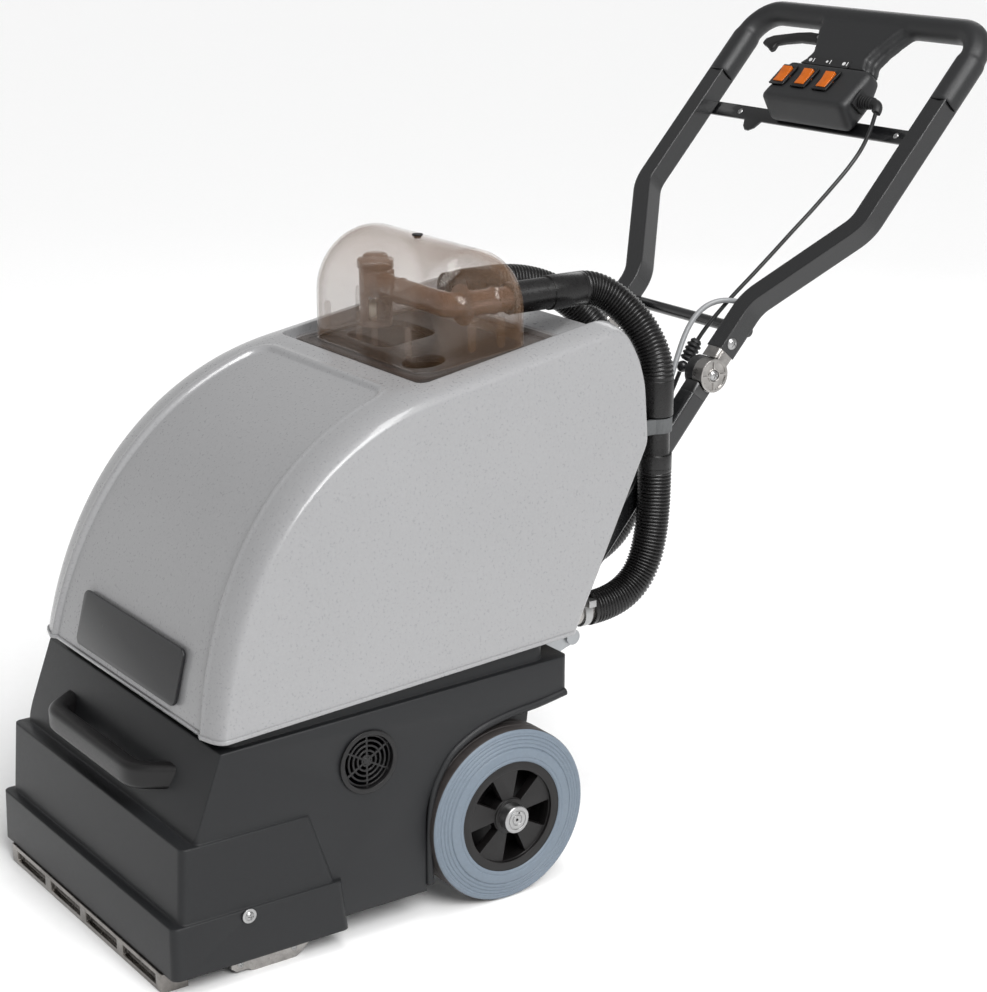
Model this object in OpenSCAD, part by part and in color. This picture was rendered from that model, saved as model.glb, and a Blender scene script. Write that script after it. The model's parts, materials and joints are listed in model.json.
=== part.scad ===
// Walk-behind carpet cleaner: spray, rotary brush and vacuum shoe in one two-wheeled machine.
// X runs across the machine, Y to the rear and Z up. The floor is z = 0.
// Places are worked out with y = 0 at the wheel axle, and from_axle() then moves every piece so
// that the origin lies on the floor below the middle of the whole machine.

/* [Wheels] */
// Outside diameter of the tyre
wheel_d = 200; // [190:2:206]
// Width of the wheel at its hub
wheel_w = 50; // [44:1:54]
// Width of the tyre's tread
tread_w = 40; // [34:1:44]
// Depth of the tyre's section, from tread to rim
tyre_h = 36; // [28:1:44]
// Distance between the outer faces of the two hubs
track_w = 442; // [438:2:452]
// Diameter of the axle
axle_d = 20; // [14:1:24]
// Number of wedge-shaped paddles in each hub
hub_paddles = 5; // [3:1:7]
// Height that the axle caps stand out of the wheels
axle_cap_h = 10; // [6:1:14]

/* [Base] */
// Width of the base housing
base_w = 410; // [404:2:416]
// Wall of the base housing
base_wall = 5; // [3:0.5:6]
// Distance from the axle forward to the foot of the upper tier
upper_front = 382; // [376:1:386]
// How far the upper tier's front face leans back
upper_lean = 34; // [20:1:40]
// Height of the base's top edge at the front
base_top = 254; // [250:1:262]
// Distance from the axle back to the base's rear face
base_rear = 87; // [80:1:96]
// Height of the side panels above the floor
panel_z = 33; // [26:1:40]
// Height of the top of the middle tier
mid_top = 162; // [150:1:172]
// Distance from the axle forward to the top front edge of the middle tier
mid_front = 398; // [394:1:402]
// Height of the top of the skirt
skirt_top = 80; // [66:1:92]
// Height of the skirt's lower edge above the floor
skirt_z = 22; // [20:1:26]
// Distance from the axle forward to the skirt's front face
skirt_front = 415; // [410:1:420]
// Distance from the axle forward to the skirt's rear end
skirt_rear = 212; // [204:1:222]
// Gap between the tyre and the side panel ahead of it
arch_gap = 3; // [2:0.5:8]

/* [Cover] */
// Distance from the axle forward to the foot of the cover's front
cover_front = 360; // [354:1:364]
// Width of the cover at its foot
cover_w = 420; // [412:2:428]
// How much narrower each side gets per 100 mm of height
cover_taper = 8.5; // [4:0.5:12]
// Radius of the roll between the front or top and the sides
cover_roll = 46; // [36:2:60]
// Depth of that roll, from the middle of the cover to its sides
roll_depth = 15; // [10:1:30]
// Wall of the cover
cover_wall = 5; // [3:0.5:6]
// Height of the cover's lower front edge
cover_z = 265; // [262:1:272]
// Slope of the cover's lower edge, in degrees
cover_slope = 3.3; // [1:0.1:4]
// Width of the channel in the cover's top
well_w = 300; // [284:2:304]

/* [Dome and recovery tank] */
// Width of the clear dome
dome_w = 240; // [224:2:246]
// Length of the dome, front to rear
dome_l = 144; // [126:2:150]
// Height of the dome's top above the front edge of its flange
dome_h = 128; // [112:1:140]
// Wall of the dome and its flange
dome_wall = 3; // [2:0.5:4]
// Slope of the deck that carries the dome, in degrees
deck_slope = 6.5; // [2:0.5:9]
// Depth of the recovery tank below the deck
tank_depth = 240; // [180:5:245]
// Wall of the recovery tank
tank_wall = 4; // [2.5:0.5:5]

/* [Handle] */
// Angle of the folding handle above the level
handle_angle = 48; // [44:0.1:52]
// Angle of the fixed lower tubes above the level
frame_angle = 49.2; // [47:0.1:51]
// Width of the square handle tube
tube_w = 25; // [22:0.5:28]
// Wall of the handle tube
tube_wall = 2; // [1.5:0.5:3]
// Distance from the middle of the machine to the lower tubes
leg_x = 107; // [104:1:110]
// Distance from the middle of the machine to the upper tubes
grip_x = 199; // [190:1:204]
// Distance along the handle from the hinge to the lower bend
bend_low = 101; // [92:1:112]
// Distance along the handle from the hinge to the upper bend
bend_high = 228; // [216:1:240]
// Radius of the tube's bends
bend_r = 45; // [36:1:54]
// Distance along the handle from the hinge to the grip's top bar
bar_s = 511; // [500:1:520]
// Radius of the grip's top bar
bar_r = 16; // [15:0.5:18]
// Distance along the handle from the hinge to the upper crossbar
crossbar_s = 366; // [350:1:372]
// Distance from the axle back to the hinges
hinge_y = 358; // [350:1:366]
// Height of the hinges
hinge_z = 530; // [520:1:540]
// Radius of the hinge discs
hinge_r = 20; // [18:0.5:22]

/* [Switch box] */
// Width of the switch box
box_w = 152; // [146:2:160]
// Distance between neighbouring rocker switches
rocker_pitch = 39; // [34:1:42]
// Width of a rocker
rocker_w = 16; // [12:1:18]
// Length of a rocker
rocker_l = 24; // [20:1:26]

/* [Hoses and lines] */
// Outside diameter of the suction hoses
hose_d = 39; // [34:1:41]
// Diameter of the control cable
cable_d = 5; // [4:0.5:7]
// Diameter of the solution line
line_d = 6.5; // [5:0.5:8]

/* [Brush and shoe] */
// Diameter of the brush over its bristles
brush_d = 88; // [80:2:92]
// Diameter of the brush's core
core_d = 48; // [40:2:56]
// Gap between the end of the brush and the plate beside it
brush_gap = 20; // [18:1:50]
// Rows of bristles round the brush
brush_rows = 8; // [5:1:10]
// Radius of the pulley on the brush
brush_pulley_r = 28; // [22:1:32]
// Radius of the pulley on the motor
motor_pulley_r = 16; // [12:1:20]
// Distance from the side of the skirt in to the end of the vacuum shoe
shoe_inset = 24; // [17:1:36]
// Number of slots along the shoe
shoe_slots = 4; // [2:1:6]

/* [Fits] */
// Radial clearance of a shaft that turns in a bore
run_gap = 0.05; // [0.02:0.01:0.1]
// Gap between neighbouring pieces that don't touch
free_gap = 0.5; // [0.3:0.1:1]

/* [Hidden] */
$fn = 48;

// Wheels
wheel_r = wheel_d / 2;
rim_r = wheel_r - tyre_h;
axle_z = wheel_r;
axle_r = axle_d / 2;
wheel_out = track_w / 2;
wheel_in = wheel_out - wheel_w;
boss_r = axle_r + 10;
boss_side = 3;          // how far the hub's boss lies inside the tyre's faces
arch_r = 100;           // radius of the arch over the wheel
arch_y = arch_r - wheel_r - arch_gap;
arch_z = 112;
well_x = wheel_in - 12; // inner wall of the wheel wells

// Whole machine
shoe_front = skirt_front + 2;
machine_rear = hinge_y + bar_s * cos(handle_angle) + bar_r;
axle_y = -(machine_rear - shoe_front) / 2;

// Base
base_half = base_w / 2;
base_slope = 1.5;
carry_z = 205;          // middle of the carry handle
base_r = 9;             // radius of the base's upright corners
skirt_half = base_half + 8;
mid_half = base_half + 3;
top_plate_under = base_top - base_wall;
vent_y = -175;
vent_z = 204;
vent_r = 35;

// Brush drive
brush_y = -290;
brush_z = brush_d / 2 + 2;
shaft_r = 6;
deck_r = 50;            // inside radius of the tunnel over the brush
deck_half = base_half - 7;
deck_wall = 3;
deck_top = brush_z + deck_r + deck_wall;
deck_front = brush_y - deck_r - deck_wall;
deck_rear = brush_y + deck_r + deck_wall;
motor_y = -196;
motor_z = 152;
motor_r = 38;
plate_t = 4;            // end plates of the brush deck
belt_w = 10;
belt_t = 3;
belt_x = -(deck_half - plate_t - belt_w / 2 - 2); // middle of the belt
brush_x0 = belt_x + belt_w / 2 + 6;
brush_l = deck_half - plate_t - brush_gap - brush_x0;
shoe_half = skirt_half - shoe_inset;
duct_x = 140;           // suction pipe from the shoe to the stub at the rear
duct_y = -314;
duct_r = 16;
duct_foot = skirt_z + 8;
stub_z = 287;
chassis_z = 54;
chassis_t = 4;
chassis_half = well_x - 16;
ear_t = 6;
floor_z = chassis_z + chassis_t;

// Deck and tank in the cover's top
deck_y = -37;
deck_z = 578;
cover_top = deck_z + 10;
well_front = -31;       // along the deck, ahead of the dome's front edge
tank_half = well_w / 2 - 24;
tank_front = -18;
tank_rear = 172;
rim_t = 4;

// Handle
tube_half = tube_w / 2;
socket_s = 31;          // where the tubes start, each way from the hinge
leg_foot = 362;         // reach of the lower tubes below the hinge
shaft_s = -350;
shaft_n = -5;
frame_shaft_r = 5;
leg_bend = atan2(grip_x - leg_x, bend_high - bend_low);
sleeve_start = 405;
hinge_face = leg_x + 14;
hinge_mid = leg_x - 1;
hinge_back = leg_x - 15;
bolt_r = 4;
crossbar_n = -tube_half - 3;

// Switch box, in the handle's own plane: s runs up the handle and n out of its front
box_low = [358, -8];
box_ridge = [370, 26];
box_high = [431, 16];
face_tilt = atan2(box_high[1] - box_ridge[1], box_high[0] - box_ridge[0]);
rocker_mid = 36;        // along the face from its ridge to the rockers' pivots
rocker_row = -21;       // middle of the row, to one side of the box's middle
bezel_w = rocker_w + 9;
bezel_l = rocker_l + 9;
rocker_tilt = 7;
pin_r = 1.8;            // pins that each rocker turns on
trigger_pin = [-56, 474];

// Hoses and lines: points chosen along each route
upper_route = hose_run([85, 186, deck_z + 70], [0, 42, 0], [140, 257, 545], [0, 0, 48], 9);
lower_route = hose_run([140, 257, 441], [0, 0, -96], [duct_x, 162, stub_z], [0, 82, 0], 12);
far_cuff = [-38, 150, deck_z + 61];
far_mid = [31, 308, 405];
far_route = concat(
    [far_cuff],
    [for (i = [0 : 11]) bezier(
        [far_cuff + [0, 4, 0], far_cuff + [5, 120, 0], [25, 304, deck_z - 18], far_mid], i / 12)],
    [for (i = [0 : 8]) bezier([far_mid, [33, 312, 317], [37, 235, 303], [37, 160, 303]], i / 8)],
    [[37, 116, 303]]
);
cable_route = [
    [112, 380, 6], [112, 358, -3], [111, 333, -8], [109, 305, -8], [105, 272, -6],
    [100, 238, -4], [95, 205, -1], [89, 170, 1], [84, 136, 4], [78, 102, 7],
    [72, 67, 8], [68, 42, 7], [65, 22, 3], [64, 8, 0]
];
tail_route = [
    [64, 353.8, 524], [64, 343, 502], [66, 322, 472], [70, 297, 444], [74, 270, 422],
    [78, 238, 405], [80, 205, 393], [80, 152, 392]
];
line_route = [
    [94, 417, 606], [90, 417, 606], [83, 411, 608], [76, 398, 607], [71, 383, 601], [69, 370, 590],
    [70, 357, 574], [73, 346, 556], [77, 334, 534], [81, 322, 510], [85, 308, 482],
    [88, 290, 452], [88, 268, 422], [88, 244, 394], [88, 214, 360], [88, 182, 326],
    [88, 152, 296], [88, 128, 272], [88, 109, 256], [88, 98, 250.3], [88, 87.6, 250]
];

// ---------- helpers ----------

module from_axle() {
    translate([0, axle_y, 0]) children();
}

module both_sides() {
    children();
    mirror([1, 0, 0]) children();
}

module on_deck() {
    translate([0, deck_y, deck_z]) rotate([deck_slope, 0, 0]) children();
}

// The handle's plane: X across, Y up the handle, Z out of its front face.
module on_handle() {
    translate([0, hinge_y, hinge_z]) rotate([handle_angle, 0, 0]) children();
}

// The same for the fixed lower tubes.
module on_frame() {
    translate([0, hinge_y, hinge_z]) rotate([frame_angle, 0, 0]) children();
}

module on_face() {
    on_handle()
        translate([0, box_ridge[0], box_ridge[1]])
            rotate([face_tilt, 0, 0])
                children();
}

// A rectangle of sizes w and h about the origin, with its corners rounded to r.
module rounded(w, h, r) {
    square([w - 2 * r, h], center = true);
    square([w, h - 2 * r], center = true);
    for (i = [-1, 1], j = [-1, 1])
        translate([i * (w / 2 - r), j * (h / 2 - r)]) circle(r);
}

// A rounded plate from y0 to y1, half as wide as half each side, between heights z0 and z1.
module slab(half, y0, y1, z0, z1, r) {
    translate([0, (y0 + y1) / 2, z0])
        linear_extrude(z1 - z0) rounded(2 * half, y1 - y0, r);
}

// A shape drawn in Y and Z, carried along X from x0 to x1.
module along_x(x0, x1) {
    translate([x0, 0, 0]) rotate([90, 0, 90]) linear_extrude(x1 - x0) children();
}

module rod_x(r, x0, x1) {
    translate([x0, 0, 0]) rotate([0, 90, 0]) cylinder(r = r, h = x1 - x0);
}

module rod_y(r, y0, y1) {
    translate([0, y0, 0]) rotate([-90, 0, 0]) cylinder(r = r, h = y1 - y0);
}

function unit(v) = v / norm(v);
function bezier(p, t) =
    pow(1 - t, 3) * p[0] + 3 * pow(1 - t, 2) * t * p[1]
    + 3 * (1 - t) * t * t * p[2] + pow(t, 3) * p[3];
function arc(c, r, a0, a1, n) =
    [for (i = [0 : n]) let (a = a0 + (a1 - a0) * i / n) c + r * [cos(a), sin(a)]];

// A hose's route from a to b, straight at both ends: u and v are its handles there.
function hose_run(a, u, b, v, n) = let (p = a + 4 * unit(u), q = b + 4 * unit(v))
    concat([a], [for (i = [0 : n]) bezier([p, p + u, q + v, q], i / n)], [b]);

// Direction of a route at its point i, square to the rings there.
function heading(p, i) = unit(p[min(i + 1, len(p) - 1)] - p[max(i - 1, 0)]);
function ring(p, i, r, sides, up) =
    let (t = heading(p, i), a = unit(cross(t, up)), b = cross(a, t))
    [for (k = [0 : sides - 1]) p[i] + r * (cos(360 * k / sides) * a + sin(360 * k / sides) * b)];

// A tube of the given diameter swept along a route; up is never along the route.
module swept(p, d, sides, up = [1, 0, 0]) {
    n = len(p);
    points = [for (i = [0 : n - 1]) each ring(p, i, d / 2, sides, up)];
    walls = [for (i = [0 : n - 2], k = [0 : sides - 1])
        let (j = (k + 1) % sides)
        [i * sides + k, i * sides + j, (i + 1) * sides + j, (i + 1) * sides + k]];
    polyhedron(points, concat(
        [[for (k = [sides - 1 : -1 : 0]) k]],
        walls,
        [[for (k = [0 : sides - 1]) (n - 1) * sides + k]]
    ));
}

// A bar of any section run along +Y, and a bend of radius r that turns it towards +X.
module run(len) {
    rotate([-90, 0, 0]) linear_extrude(len) children();
}

module bend(r, a) {
    translate([r, 0, 0])
        rotate([0, 0, 180 - a])
            rotate_extrude(angle = a) translate([r, 0]) children();
}

// Moves on to the end of a bend of radius r and angle a.
module after_bend(r, a) {
    translate([r * (1 - cos(a)), r * sin(a), 0]) rotate([0, 0, -a]) children();
}

// ---------- wheels ----------

// Half of the tyre's section: narrower at the tread than at the rim.
module tyre_section() {
    edge = 4;
    side = wheel_w / 2;
    tread = tread_w / 2;
    difference() {
        union() {
            polygon([
                [rim_r, -side], [rim_r + 6, -side], [wheel_r - edge, -tread],
                [wheel_r, -tread + edge], [wheel_r, tread - edge], [wheel_r - edge, tread],
                [rim_r + 6, side], [rim_r, side]
            ]);
            for (j = [-1, 1])
                translate([wheel_r - edge, j * (tread - edge)]) circle(edge);
        }
        for (k = [1 : 3], j = [-1, 1])
            translate([rim_r + 4 + 7 * k, j * (side + 0.4 - 1.05 * k)]) circle(1, $fn = 16);
    }
}

module tyre() {
    color("#8e9aa5")
        translate([wheel_out - wheel_w / 2, 0, axle_z])
            rotate([0, 90, 0])
                rotate_extrude($fn = 96) tyre_section();
}

// A rim ring and a boss, joined by a web of wedge-shaped paddles near its outer face.
module hub() {
    ring_w = wheel_w - 2;
    rim_t = 10;
    web_t = 12;
    step = 360 / hub_paddles;
    gap = 34;
    color("#1d1e20")
        translate([wheel_out - wheel_w / 2, 0, axle_z])
            rotate([0, 90, 0])
                difference() {
                    union() {
                        difference() {
                            translate([0, 0, -ring_w / 2]) cylinder(r = rim_r, h = ring_w, $fn = 96);
                            translate([0, 0, -ring_w])
                                cylinder(r = rim_r - rim_t, h = 2 * ring_w, $fn = 96);
                        }
                        translate([0, 0, -wheel_w / 2 + boss_side])
                            cylinder(r = boss_r, h = wheel_w - 2 * boss_side);
                        translate([0, 0, ring_w / 2 - web_t - 4])
                            difference() {
                                cylinder(r = rim_r - rim_t / 2, h = web_t);
                                for (k = [0 : hub_paddles - 1])
                                    rotate(k * step + gap_turn)
                                        paddle_gap(gap, rim_r - rim_t - 0.5, web_t);
                            }
                    }
                    cylinder(r = axle_r + run_gap, h = 2 * wheel_w, center = true);
                }
}

gap_turn = 79;

// Window between two paddles, from the boss out to radius r.
module paddle_gap(angle, r, h) {
    translate([0, 0, -1]) linear_extrude(h + 2)
        polygon(concat(arc([0, 0], boss_r + 1, angle / 2, -angle / 2, 3),
            arc([0, 0], r, -angle / 2, angle / 2, 6)));
}

module tyre_right() { from_axle() tyre(); }
module tyre_left() { from_axle() mirror([1, 0, 0]) tyre(); }
module hub_right() { from_axle() hub(); }
module hub_left() { from_axle() mirror([1, 0, 0]) hub(); }

module axle() {
    color("#9a9da0") from_axle()
        translate([0, 0, axle_z]) rod_x(axle_r, -wheel_out, wheel_out);
}

// Push-on caps that keep the wheels on the axle, each with a small dimple.
module axle_caps() {
    cap_r = axle_r + 6;
    skirt_depth = boss_side - free_gap;
    color("#c9cbcc") from_axle() both_sides()
        translate([wheel_out, 0, axle_z])
            rotate([0, 90, 0])
                difference() {
                    union() {
                        translate([0, 0, -skirt_depth]) cylinder(r = cap_r, h = skirt_depth);
                        cylinder(r = cap_r, h = axle_cap_h - 1.5);
                        translate([0, 0, axle_cap_h - 1.5])
                            cylinder(r1 = cap_r, r2 = cap_r - 1.5, h = 1.5);
                    }
                    translate([0, 0, -2 * skirt_depth]) cylinder(r = axle_r, h = 2 * skirt_depth);
                    translate([0, 0, axle_cap_h - 2]) cylinder(r = 3, h = 3);
                }
}

// ---------- base ----------

// A tier of the base: a loft from a lower outline to an upper one, both with rounded corners.
module tier(half0, front0, z0, half1, front1, z1, rear0, rear1, inset) {
    hull() {
        slab(half0 - inset, -front0 + inset, -rear0 - inset, z0, z0 + 0.1, base_r - inset / 2, $fn = 32);
        slab(half1 - inset, -front1 + inset, -rear1 - inset, z1 - 0.1, z1, base_r - inset / 2, $fn = 32);
    }
}

module skirt_tier(inset, down) {
    tier(skirt_half + 1, skirt_front, skirt_z - down, skirt_half, skirt_front - 1,
        skirt_top - inset, skirt_rear - 7, skirt_rear, inset);
}

module mid_tier(inset, down) {
    tier(mid_half + 2, mid_front + 6, skirt_top - 10 - down, mid_half, mid_front,
        mid_top - inset, skirt_rear + 4, skirt_rear + 34, inset);
}

// Seen from the side: the upper body, with its leaning front and its rising top edge.
module upper_side(inset) {
    rise = (base_rear + upper_front) * tan(base_slope);
    polygon([
        [-upper_front + inset, 0],
        [-upper_front + inset, mid_top],
        [-upper_front + upper_lean + inset, base_top - inset],
        [base_rear - inset, base_top + rise - inset],
        [base_rear - inset, 0]
    ]);
}

// Upper body between the side walls, with its upright corners rounded.
module upper_body(inset, down) {
    intersection() {
        along_x(-base_half + inset, base_half - inset) upper_side(inset);
        slab(base_half - inset, -upper_front + inset, base_rear - inset,
            panel_z - down, base_top + 40, base_r - inset / 2);
    }
}

// Height of the upper tier's top face at a distance y from the axle.
function plate_z(y) = let (run = base_rear + upper_front - upper_lean)
    base_top + (base_rear + upper_front) * tan(base_slope) * (y - base_rear + run) / run;

// Upright rim on the base's top, which stands up inside the cover.
module neck() {
    half = base_half - 8;
    front = -338;
    rear = 62;
    t = 4;
    difference() {
        slab(half, front, rear, base_top - 1, base_top + 50, 14);
        slab(half - t, front + t, rear - t, base_top - 2, base_top + 51, 11);
        along_x(-half - 1, half + 1)
            polygon([
                [front - 1, base_top + 30], [rear + 1, base_top + 46],
                [rear + 1, base_top + 60], [front - 1, base_top + 60]
            ]);
        along_x(-half - 1, half + 1)
            polygon([
                [front - 1, plate_z(front) - 2], [rear + 1, plate_z(rear) - 2],
                [rear + 1, base_top - 10], [front - 1, base_top - 10]
            ]);
    }
}

// The space cleared for one wheel, from x0 outwards; grow adds a lining round it.
module wheel_space(x0, grow) {
    along_x(x0, skirt_half + 20)
        polygon(concat(
            [[arch_y - arch_r - grow, -10]],
            arc([arch_y, arch_z], arch_r + grow, 180, 90, 24),
            [[base_rear, overhang_z + grow], [base_rear + 60, overhang_z + grow],
                [base_rear + 60, -10]]
        ));
}

overhang_z = 225;

// The space below and behind the middle of the base.
module rear_space(grow) {
    along_x(-skirt_half, skirt_half)
        polygon([
            [20 - grow, -10], [20 - grow, 40], [56 - grow, 120], [70 - grow, overhang_z + grow],
            [base_rear + 60, overhang_z + grow], [base_rear + 60, -10]
        ]);
}

module base_housing() {
    pipe_hole_r = 19;
    color("#3a3c3f") from_axle() difference() {
        union() {
            difference() {
                union() {
                    skirt_tier(0, 0);
                    mid_tier(0, 0);
                    upper_body(0, 0);
                }
                skirt_tier(base_wall, 20);
                mid_tier(base_wall, 40);
                upper_body(base_wall, 20);
            }
            neck();
            intersection() {
                upper_body(0, 0);
                union() {
                    both_sides() wheel_space(well_x - 4, 4);
                    rear_space(4);
                }
            }
        }
        both_sides() wheel_space(well_x, 0);
        rear_space(0);
        translate([0, 0, axle_z]) rod_x(axle_r + free_gap, -base_half, base_half);
        both_sides()
            translate([0, vent_y, vent_z]) rod_x(vent_r - 3, base_half - 20, base_half + 10);
        both_sides()
            translate([chassis_half - free_gap, base_rear - 12, ear_low - free_gap])
                cube([ear_t + 2 * free_gap, 20, ear_high - ear_low + 2 * free_gap]);
        translate([duct_x, duct_y, base_top - 20]) cylinder(r = pipe_hole_r, h = 60);
        translate([duct_x, 0, stub_z]) rod_y(pipe_hole_r, 40, 80);
        both_sides()
            translate([0, screw_y, screw_z]) rod_x(screw_r, deck_half, skirt_half + 10);
    }
}

screw_y = -327;
screw_z = 73;
screw_r = 3;

// Steel floor pan with two side plates, which hold the axle and reach out to the handle's foot.
module chassis() {
    color("#6b6e71") from_axle() {
        translate([-chassis_half, deck_rear, chassis_z])
            cube([2 * chassis_half, 10 - deck_rear, chassis_t]);
        both_sides()
            difference() {
                along_x(chassis_half, chassis_half + ear_t) {
                    polygon([
                        [-60, chassis_z], [10, chassis_z], [34, axle_z], [60, 210],
                        [60, ear_low], [base_rear, ear_low], [foot()[0] - 8, foot()[1] - 12],
                        [foot()[0] + 6, foot()[1] - 8], foot(), [foot()[0] - 6, foot()[1] + 8],
                        [base_rear, ear_high], [20, ear_high], [0, axle_z + 70],
                        [-40, axle_z + 20], [-60, axle_z]
                    ]);
                    translate(foot()) circle(frame_shaft_r + 4);
                }
                translate([0, 0, axle_z]) rod_x(axle_r, 0, 200);
                translate([0, foot()[0], foot()[1]]) rod_x(frame_shaft_r, 0, 200);
            }
    }
}

ear_low = 234;
ear_high = 256;
// Place, in Y and Z, of the shaft at the foot of the handle frame.
function foot() = [
    hinge_y + shaft_s * cos(frame_angle) - shaft_n * sin(frame_angle),
    hinge_z + shaft_s * sin(frame_angle) + shaft_n * cos(frame_angle)
];

module frame_shaft() {
    head_t = 4;
    x1 = chassis_half + ear_t;
    color("#8d9093") from_axle()
        translate([0, foot()[0], foot()[1]]) {
            rod_x(frame_shaft_r, -x1, x1);
            both_sides() rod_x(frame_shaft_r + 4, x1, x1 + head_t);
        }
}

// Handle on the front of the upper tier: a bar on two arms that spread towards the housing.
module carry_handle() {
    tall = 27;
    color("#262729") from_axle() difference() {
        translate([0, 0, carry_z - tall / 2]) linear_extrude(tall) carry_outline();
        along_x(-base_half, base_half) upper_side(0);
    }
}

// Plan of the carry handle: h is half its thickness, and each corner turns from bar to arm.
module carry_outline() {
    h = 9;
    bar_half = 98;
    bar_y = -upper_front - 13;
    foot = [128, 30 - upper_front];
    turn = 18;
    lean = atan2(foot[0] - bar_half, foot[1] - bar_y);
    corner = [bar_half - turn * tan((90 - lean) / 2), bar_y + turn];
    side = [cos(lean), -sin(lean)];
    half = concat(
        arc(corner, turn + h, -90, -lean, 8),
        [foot + h * side, foot - h * side],
        arc(corner, turn - h, -lean, -90, 8)
    );
    last = len(half) - 1;
    polygon(concat(half, [for (i = [0 : last]) [-half[last - i][0], half[last - i][1]]]));
}

// Round grilles: a rim, rings and spokes, seated in holes through the housing's sides.
module side_vents() {
    flange = 2.5;
    rings = 5;
    bar = 2.2;
    color("#17181a") from_axle() both_sides()
        translate([base_half, vent_y, vent_z])
            rotate([0, 90, 0]) {
                difference() {
                    cylinder(r = vent_r, h = flange, $fn = 64);
                    translate([0, 0, -1]) cylinder(r = vent_r - 5, h = flange + 2, $fn = 64);
                }
                difference() {
                    translate([0, 0, -base_wall]) cylinder(r = vent_r - 3, h = base_wall, $fn = 64);
                    translate([0, 0, -base_wall - 1])
                        cylinder(r = vent_r - 5, h = base_wall + 2, $fn = 64);
                }
                translate([0, 0, -base_wall]) linear_extrude(3) {
                    circle(4);
                    for (k = [1 : rings])
                        difference() {
                            circle(k * (vent_r - 4) / (rings + 0.5) + bar / 2);
                            circle(k * (vent_r - 4) / (rings + 0.5) - bar / 2);
                        }
                    for (k = [0 : 5])
                        rotate(60 * k) translate([0, -bar / 2]) square([vent_r - 4, bar]);
                }
            }
}

// Cross-head screws with washers, one in each side of the skirt and two in each end plate.
module body_screws() {
    washer_t = 1.5;
    color("#c4c6c8") from_axle() {
        both_sides() translate([0, screw_y, screw_z]) {
            rod_x(screw_r, deck_half, skirt_half + 1);
            rod_x(8, skirt_half + 1, skirt_half + 1 + washer_t);
            translate([skirt_half + 1 + washer_t, 0, 0]) cross_head(5);
        }
        both_sides() for (y = [-40, 24])
            translate([deck_half, brush_y + y, 11]) cross_head(3.5);
    }
}

// A pan head on the plane x = 0, with a cross slot.
module cross_head(r) {
    h = 0.55 * r;
    rotate([0, 90, 0])
        difference() {
            intersection() {
                cylinder(r = r, h = h);
                translate([0, 0, h - 1.3 * r]) sphere(1.3 * r);
            }
            for (a = [0, 90])
                rotate(a) translate([-r * 0.6, -r * 0.12, h * 0.4]) cube([r * 1.2, r * 0.24, r]);
        }
}

// Die-cast suction shoe along the front edge, with long windows between ribs.
module vacuum_shoe() {
    top = skirt_z - free_gap;
    depth = 30;
    rib = 14;
    slot_l = (2 * shoe_half - rib) / shoe_slots - rib;
    color("#b9bbbd") from_axle() {
        difference() {
            union() {
                translate([-shoe_half, -shoe_front, 0]) cube([2 * shoe_half, depth, top]);
                translate([-shoe_half + 6, -shoe_front + 10, top])
                    cube([2 * shoe_half - 12, depth - 10, 8]);
                translate([-60, -shoe_front + depth - 1, top + 2])
                    cube([120, -deck_wing + shoe_front - depth + 1, 4]);
            }
            for (k = [0 : shoe_slots - 1])
                translate([-shoe_half + rib + k * (slot_l + rib), -shoe_front - 1, 5])
                    cube([slot_l, 7, top - 10]);
            translate([-shoe_half + rib, -shoe_front + 12, -1])
                cube([2 * shoe_half - 2 * rib, 12, top]);
            translate([duct_x, -shoe_front + 20, 4]) cylinder(r = 7, h = duct_foot);
        }
    }
}

deck_wing = -deck_front;

// Tunnel over the brush, with a flat plate at each end.
module brush_deck() {
    color("#b4b0a8") from_axle() difference() {
        union() {
            translate([0, brush_y, brush_z]) rod_x(deck_r + deck_wall, -deck_half, deck_half);
            translate([-deck_half, deck_front, 18])
                cube([2 * deck_half, 2 * (deck_r + deck_wall), brush_z - 18]);
            both_sides()
                along_x(deck_half - plate_t, deck_half)
                    polygon([
                        [deck_front + 2, brush_z], [deck_front + 2, 8], [deck_front + 8, 3],
                        [deck_rear - 22, 3], [deck_rear - 2, 20], [deck_rear - 2, brush_z]
                    ]);
        }
        translate([0, brush_y, brush_z])
            rod_x(deck_r, -deck_half + plate_t, deck_half - plate_t);
        translate([-deck_half + plate_t, brush_y - deck_r, 0])
            cube([2 * (deck_half - plate_t), 2 * deck_r, brush_z]);
        translate([0, brush_y, brush_z]) rod_x(shaft_r + run_gap, -220, 220);
        translate([belt_x - belt_w / 2 - 1, brush_y, brush_z])
            cube([belt_w + 2, 2 * deck_r, 2 * deck_r]);
    }
}

module brush_roller() {
    tuft = 9;
    x0 = brush_x0;
    color("#2c3a4a") from_axle()
        translate([0, brush_y, brush_z])
            difference() {
                union() {
                    rod_x(core_d / 2, x0, x0 + brush_l);
                    for (k = [0 : brush_rows - 1])
                        rotate([360 * k / brush_rows, 0, 0])
                            translate([x0 + 2, -tuft / 2, 0])
                                cube([brush_l - 4, tuft, sqrt(pow(brush_d / 2, 2) - pow(tuft / 2, 2))]);
                }
                rod_x(shaft_r, -220, 220);
            }
}

module brush_shaft() {
    color("#9a9da0") from_axle()
        translate([0, brush_y, brush_z]) rod_x(shaft_r, -deck_half, deck_half);
}

// A flanged belt pulley in the belt's plane, bored for its shaft.
module pulley(r, bore) {
    side = 2;
    difference() {
        union() {
            rod_x(r, belt_x - belt_w / 2 - side, belt_x + belt_w / 2 + side);
            for (x = [belt_x - belt_w / 2 - side, belt_x + belt_w / 2 + free_gap])
                rod_x(r + belt_t, x, x + side - free_gap);
        }
        rod_x(bore, belt_x - 30, belt_x + 30);
    }
}

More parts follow.
